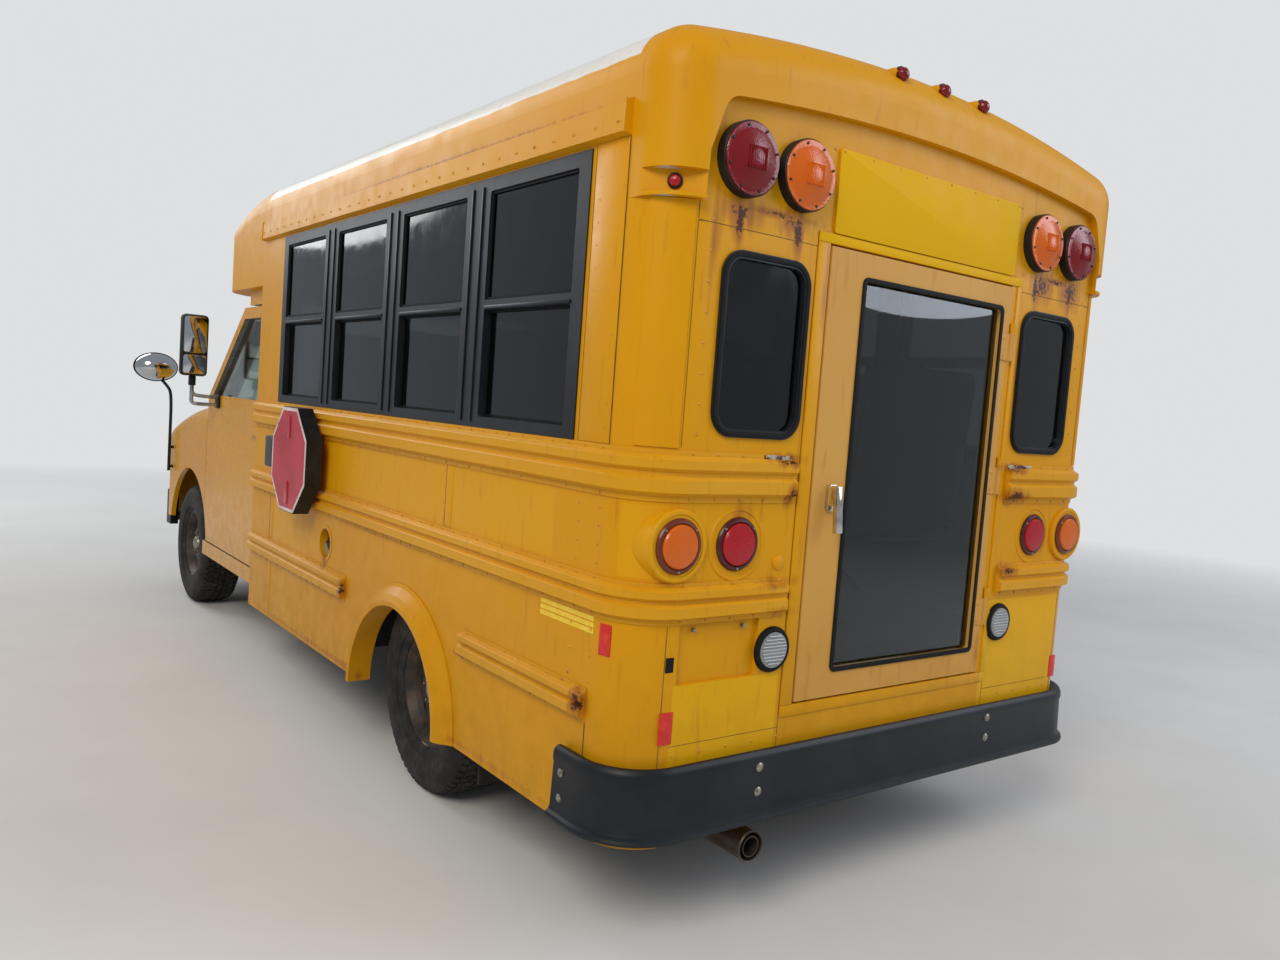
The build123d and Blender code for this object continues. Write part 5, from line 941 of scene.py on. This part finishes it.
rails = {
    "wrapped": ((1.222, 1.356), (0.900, 1.010)),                              # low, high
    "short": ((0.575, 0.685, -0.4595, 0.867), (0.605, 0.700, 1.915, 2.64)),   # low, high, front, back
    "front": -0.4595, "endX": 0.5195, "flange": 0.004,
    "rivetPitch": 0.083, "rivet": (0.0056, 0.0028),                           # radius, height
    "section": (  # outward, share of the height: flanges, a narrow ridge over a wide one, a valley between
        (0.0003, 0.0), (0.0040, 0.0), (0.0040, 0.105), (0.0200, 0.165), (0.0235, 0.185), (0.0235, 0.435),
        (0.0200, 0.460), (0.0110, 0.510), (0.0110, 0.575), (0.0200, 0.625), (0.0235, 0.650), (0.0235, 0.815),
        (0.0200, 0.840), (0.0040, 0.905), (0.0040, 1.0), (0.0003, 1.0)),
}


# One rail along a line, with rivets on both flanges of each (start, end, outward) run
def addRail(bm, heads, low, high, line, runs, margin):
    addSweep(bm, line, [(out, low + share * (high - low)) for out, share in rails["section"]])
    for z in (low + margin, high - margin):
        for (x0, y0), (x1, y1), outward in runs:
            addRivets(heads, (x0, y0, z), (x1, y1, z), rails["rivetPitch"], outward, *rails["rivet"])


bm, heads = bmesh.new(), bmesh.new()
for side in (-1, 1):
    sideOut, rearOut = side * (bodyHalf + rails["flange"]), rearY + rails["flange"]
    for low, high in rails["wrapped"]:
        line = cornerLine(side, rails["front"]) + [(side * rails["endX"], rearY, 0.0, 1.0)]
        runs = (((sideOut, -0.42), (sideOut, 2.64), acrossX * side),
                ((side * 0.545, rearOut), (side * 0.895, rearOut), alongY))
        addRail(bm, heads, low, high, line, runs, 0.0065)
    for low, high, front, back in rails["short"]:
        line = [(side * bodyHalf, y, side, 0.0) for y in (front, back)]
        addRail(bm, heads, low, high, line,
                (((sideOut, front + 0.04), (sideOut, back - 0.04), acrossX * side),), 0.0055)
newPiece("formedRails", bm, "railEnamel", "bus", ("rub_rails",), 40)
newPiece("railRivets", heads, "rivetEnamel", "bus")

bm = bmesh.new()
addTurned(bm, (0.616, 2.60, 0.262), alongY,
          [(0.0405, 0.0), (0.0435, 0.0), (0.0440, 0.262), (0.0465, 0.266), (0.0440, 0.270), (0.0405, 0.268)], 40,
          closed=True)
newPiece("tailpipeTip", bm, "exhaustSteel", "bus")

bm = bmesh.new()  # hinge leaves on the emergency door's left edge, and the lever with its plate
for z in (0.85, 1.30, 1.75):
    addBlock(bm, (-0.4545, 2.8205, z - 0.044), (-0.395, 2.8245, z + 0.044), 0.001)
    for dz in (-0.028, 0.028):
        addRod(bm, (-0.412, 2.824, z + dz), (-0.412, 2.8275, z + dz), 0.0055, 8, 0.003)
newPiece("doorHingeLeaves", bm, "doorEnamel", "emergency_door")
bm = bmesh.new()
leverX = 0.366
addPad(bm, (leverX, 2.8212, 1.238), -acrossX, upZ, 0.038, 0.078, 0.010, 0.012, edge=0.003)
addRod(bm, (leverX, 2.832, 1.248), (leverX, 2.857, 1.248), 0.012, 20)
addBlock(bm, (leverX - 0.013, 2.8455, 1.137), (leverX + 0.013, 2.8655, 1.274), 0.005,
         Matrix.Rotation(math.radians(5.4), 4, "X"))
addRod(bm, (leverX, 2.856, 1.235), (leverX - 0.004, 2.860, 1.150), 0.0085, 20, 0.0065)
newPiece("doorLever", bm, "chrome", "emergency_door")

bm = bmesh.new()  # reflectors on the rear and the last corner of the sides
addPad(bm, (0.914, rearY - 0.0004, 0.623), -acrossX, upZ, 0.045, 0.087, 0.002, 0.0022, edge=0.0006)
addPad(bm, (-0.936, rearY - 0.0008, 0.610), -acrossX, upZ, 0.036, 0.080, 0.002, 0.0022, edge=0.0006)
for side in (-1, 1):
    turn, sunk = math.radians(13.5), cornerR - 0.0014
    x, y = bodyHalf - cornerR + sunk * math.cos(turn), rearY - cornerR + sunk * math.sin(turn)
    addPad(bm, (side * x, y, 0.845), (-math.sin(turn), side * math.cos(turn), 0), upZ, 0.040, 0.084, 0.002,
           0.0034, edge=0.0006)
newPiece("redReflectors", bm, "reflectRed", "bus")
bm = bmesh.new()
for side in (-1, 1):
    for z in (0.856, 0.873, 0.890):
        addPad(bm, (side * 1.0499, 2.515, z), alongY * side, upZ, 0.270, 0.0130, 0.001, 0.0009)
newPiece("yellowTape", bm, "reflectYellow", "bus")

bm = bmesh.new()
addTurned(bm, (1.0504, 0.614, 0.781), acrossX,
          [(0.066, -0.030), (0.066, 0.0018), (0.071, 0.0030), (0.078, 0.0018), (0.079, 0.0), (0.0665, -0.0004)],
          48, closed=True)
for index in range(5):
    turn = math.tau * index / 5
    point = Vector((1.052, 0.614 + 0.0735 * math.cos(turn), 0.781 + 0.0735 * math.sin(turn)))
    addRod(bm, point, point + acrossX * 0.0025, 0.0035, 8, 0.002)
newPiece("fillerRing", bm, "wallEnamel", "bus")
bm = bmesh.new()
addTurned(bm, (1.0125, 0.614, 0.781), acrossX,
          [(0.0, 0.0), (0.062, 0.0), (0.062, 0.002), (0.034, 0.003), (0.033, 0.016), (0.028, 0.020),
           (0.0, 0.021)], 36)
addBlock(bm, (1.0300, 0.588, 0.776), (1.0400, 0.640, 0.786), 0.002)
newPiece("fillerCap", bm, "blackPlastic", "bus")


# ---- side trims: rivets, lap joints, sash details and the gutter's bracket

def sideRivets(side):
    bm = bmesh.new()
    wallX, out = side * bodyHalf, acrossX * side
    front = -0.46 if side > 0 else -0.42
    rows = [(front + 0.03, 0.96, 0.33, 0.33, 0.078), (1.97, 2.60, 0.33, 0.33, 0.078)]  # ys, heights, pitch
    rows += [(y, y, low, high, 0.060) for y in (2.542, 2.640)
             for low, high in ((1.40, 2.12), (0.72, 0.86), (1.04, 1.19))]
    for start, end, low, high, pitch in rows:
        addRivets(bm, (wallX, start, low), (wallX, end, high), pitch, out, 0.0056, 0.0026)
    for y in (-0.148, 0.9, 1.72):
        addRivets(bm, (wallX, y, 1.04), (wallX, y, 1.20), 0.055, out, 0.0050, 0.0024)
    addRivets(bm, (side * 1.0725, -0.40, 2.185), (side * 1.0725, 2.63, 2.185), 0.105, out, 0.0056, 0.0026)
    newPiece("sideRivets" + letter[side], bm, "rivetEnamel", "bus")


# Flat strips standing on a side wall, from rows of (front, back, low, high)
def addStrips(bm, side, height, rows, bevel=0.0):
    for front, back, low, high in rows:
        addBlock(bm, (side * (bodyHalf - 0.001), front, low), (side * (bodyHalf + height), back, high), bevel)


lapHeights = ((1.012, 1.220), (0.687, 0.898), (0.305, 0.573))
for side in (-1, 1):
    sideRivets(side)
    bm = bmesh.new()  # lap joints of the side sheets
    addStrips(bm, side, 0.0016, [(-0.165, -0.120, *heights) for heights in lapHeights], 0.0005)
    addStrips(bm, side, 0.0016, [(1.735, 1.780, *lapHeights[0])], 0.0005)
    addStrips(bm, side, 0.0022, [(2.515, 2.664, 1.358, 2.147)], 0.0008)
    newPiece("lapSheets" + letter[side], bm, "wallEnamel", "bus")
    bm = bmesh.new()  # sealer along their edges, under the window band and over the skirt
    addStrips(bm, side, 0.0027, [(2.5135, 2.5155, 1.358, 2.147), (2.6625, 2.6645, 1.358, 2.147)])
    addStrips(bm, side, 0.0020, [(-0.167, -0.165, *heights) for heights in lapHeights[:2]])
    addStrips(bm, side, 0.0020, [(1.733, 1.735, *lapHeights[0]), (2.639, 2.641, 0.305, 0.603)])
    newPiece("sideSeams" + letter[side], bm, "seamDirt", "bus")
print("rivets and laps done")

sash = {"y": -0.085, "pitch": 0.663, "width": 0.560, "low": 1.364, "high": 2.127, "meeting": 1.745}
for side in (-1, 1):
    bm = bmesh.new()
    seals = bmesh.new()
    out = side * 1.055
    for index in range(4):
        y0 = sash["y"] + index * sash["pitch"]
        middle = y0 + sash["width"] / 2
        for low, high, depth in ((sash["low"] + 0.028, sash["meeting"] - 0.015, 0.026),
                                 (sash["meeting"] + 0.015, sash["high"] - 0.028, 0.012)):
            addPad(seals, (side * (1.050 - depth + 0.006), middle, (low + high) / 2), alongY * side, upZ,
                   sash["width"] - 0.056, high - low, 0.008, 0.006, ring=0.009, curve=3)
        addBlock(bm, (out, y0 + 0.030, sash["meeting"] - 0.013),
                 (out + side * 0.004, y0 + sash["width"] - 0.030, sash["meeting"] - 0.003), 0.0012)
        if index:  # the post's rolled ribs
            for offset in (-0.086, -0.018):
                addBlock(bm, (out, y0 + offset - 0.004, sash["low"] + 0.01),
                         (out + side * 0.005, y0 + offset + 0.004, sash["high"] - 0.01), 0.0015)
        for y in (middle - 0.12, middle + 0.12):  # spring latches on the inside of the upper sash
            addBlock(bm, (side * 1.0285 - 0.006, y - 0.022, sash["meeting"] - 0.012),
                     (side * 1.0285 + 0.006, y + 0.022, sash["meeting"] + 0.012), 0.003)
    newPiece("sashTrims" + letter[side], bm, "sashAluminium", "bus")
    newPiece("paneSeals" + letter[side], seals, "gasketRubber", "bus")

bm = bmesh.new()
for side in (-1, 1):  # gutter bracket and the fascia's end plate
    addBlock(bm, (side * 1.050, -0.437, 2.150), (side * 1.076, -0.425, 2.240), 0.002)
    addBlock(bm, (side * 1.050, 2.6605, 2.152), (side * 1.076, 2.6648, 2.238), 0.001)
newPiece("gutterEnds", bm, "roofEnamel", "bus")
print("windows done")


# ---- front end: the grille's ribs, lamps and wipers

bm = bmesh.new()
lensBm, turnBm, reflectorBm = bmesh.new(), bmesh.new(), bmesh.new()
for side in (-1, 1):
    x0, x1 = sorted((side * 0.4705, side * 0.6645))
    middle = (x0 + x1) / 2
    addPad(lensBm, (middle, -2.800, 0.8225), acrossX, upZ, x1 - x0 - 0.002, 0.153, 0.014, 0.0048, edge=0.0015)
    addPad(turnBm, (middle, -2.800, 0.704), acrossX, upZ, x1 - x0 - 0.002, 0.046, 0.008, 0.0048, edge=0.0015)
    addTurned(reflectorBm, (middle, -2.7525, 0.8225), -alongY,
              [(0.0, 0.0), (0.035, 0.004), (0.058, 0.018), (0.068, 0.038), (0.071, 0.039), (0.060, 0.012),
               (0.036, -0.004), (0.0, -0.008)], 36)
    addBlock(reflectorBm, (x0 + 0.003, -2.760, 0.747), (x1 - 0.003, -2.744, 0.898), 0.004)
    addBlock(reflectorBm, (x0 + 0.003, -2.775, 0.682), (x1 - 0.003, -2.760, 0.726), 0.003)
newPiece("headlampLenses", lensBm, "clearLens", "bus", ("headlamps",))
newPiece("turnLampLenses", turnBm, "amberLens", "bus")
newPiece("headlampReflectors", reflectorBm, "reflector", "bus")
for index in range(22):  # the grille's upright ribs behind its bars
    x = -0.42 + index * 0.04
    addBlock(bm, (x - 0.002, -2.790, 0.687), (x + 0.002, -2.777, 0.912))
newPiece("grilleRibs", bm, "grillePlastic", "bus")

for name, side, start in (("left", 1, 0.62), ("right", -1, -0.12)):
    foot = Vector((start, -1.640 - 0.140 * (1 - (start / 0.86) ** 2) - 0.012, 1.322))
    tip = foot + Vector((-0.46, 0.055 if side > 0 else -0.03, 0.150))
    bend = foot.lerp(tip, 0.5) + Vector((0, -0.012, 0.01))
    tubePiece(name + "WiperArm", [[foot, bend, tip + Vector((0, -0.004, 0))]], 0.006, "blackPlastic", "bus")
print("front end done")


# ---- the floor and soft light

materials["studioFloor"] = plainFinish("studioFloorPaper", "#DEDEDC", "#D9D9D7", 900, 12, 0.85, {"bump": 0.05})
tree = materials["studioFloor"].node_tree  # it thins out far from the bus
away = addNode(tree, "TexCoord", out="Object")
away = addNode(tree, "VectorMath", "LENGTH", {0: away}, "Value")
away = addNode(tree, "MapRange", inputs={"Value": away, "From Min": 12.0, "From Max": 6.0})
tree.links.new(away, tree.nodes["Principled BSDF"].inputs["Alpha"])
bm = bmesh.new()
bmesh.ops.create_grid(bm, x_segments=1, y_segments=1, size=60)
mesh = bpy.data.meshes.new("studioFloor")
bm.to_mesh(mesh)
bm.free()
mesh.materials.append(materials["studioFloor"])
studioFloor = bpy.data.objects.new("studioFloor", mesh)
scene.collection.objects.link(studioFloor)

world = bpy.data.worlds.new("studio")
world.use_nodes = True
tree = world.node_tree
paths = addNode(tree, "LightPath").node.outputs
seen = addNode(tree, "Math", "MAXIMUM", {0: paths["Is Camera Ray"], 1: paths["Is Transmission Ray"]})
background = tree.nodes["Background"].inputs
tint = addNode(tree, "Mix", {"data_type": "RGBA"}, {0: seen, 6: linear("#E4EAF2"), 7: linear("#E6E8EA")}, 2)
strength = addNode(tree, "MapRange", inputs={"Value": seen, "To Min": 0.42, "To Max": 0.92})
tree.links.new(tint, background["Color"])
tree.links.new(strength, background["Strength"])
scene.world = world

lights = (
    ("keyLight", (7.5, 6.5, 7.5), 5.0, 520, "#FFF6E8"),
    ("fillLight", (-6.5, 7.5, 5.5), 6.0, 330, "#EEF3FF"),
    ("frontLight", (3.5, -8.5, 6.0), 6.0, 330, "#FFFFFF"),
)
for name, place, size, power, shade in lights:
    data = bpy.data.lights.new(name, "AREA")
    data.shape, data.size, data.energy, data.color = "DISK", size, power, linear(shade)[:3]
    light = bpy.data.objects.new(name, data)
    light.location = place
    light.rotation_mode = "QUATERNION"
    light.rotation_quaternion = (Vector((0, 0, 1.0)) - Vector(place)).to_track_quat("-Z", "Y")
    scene.collection.objects.link(light)
print("stage done")
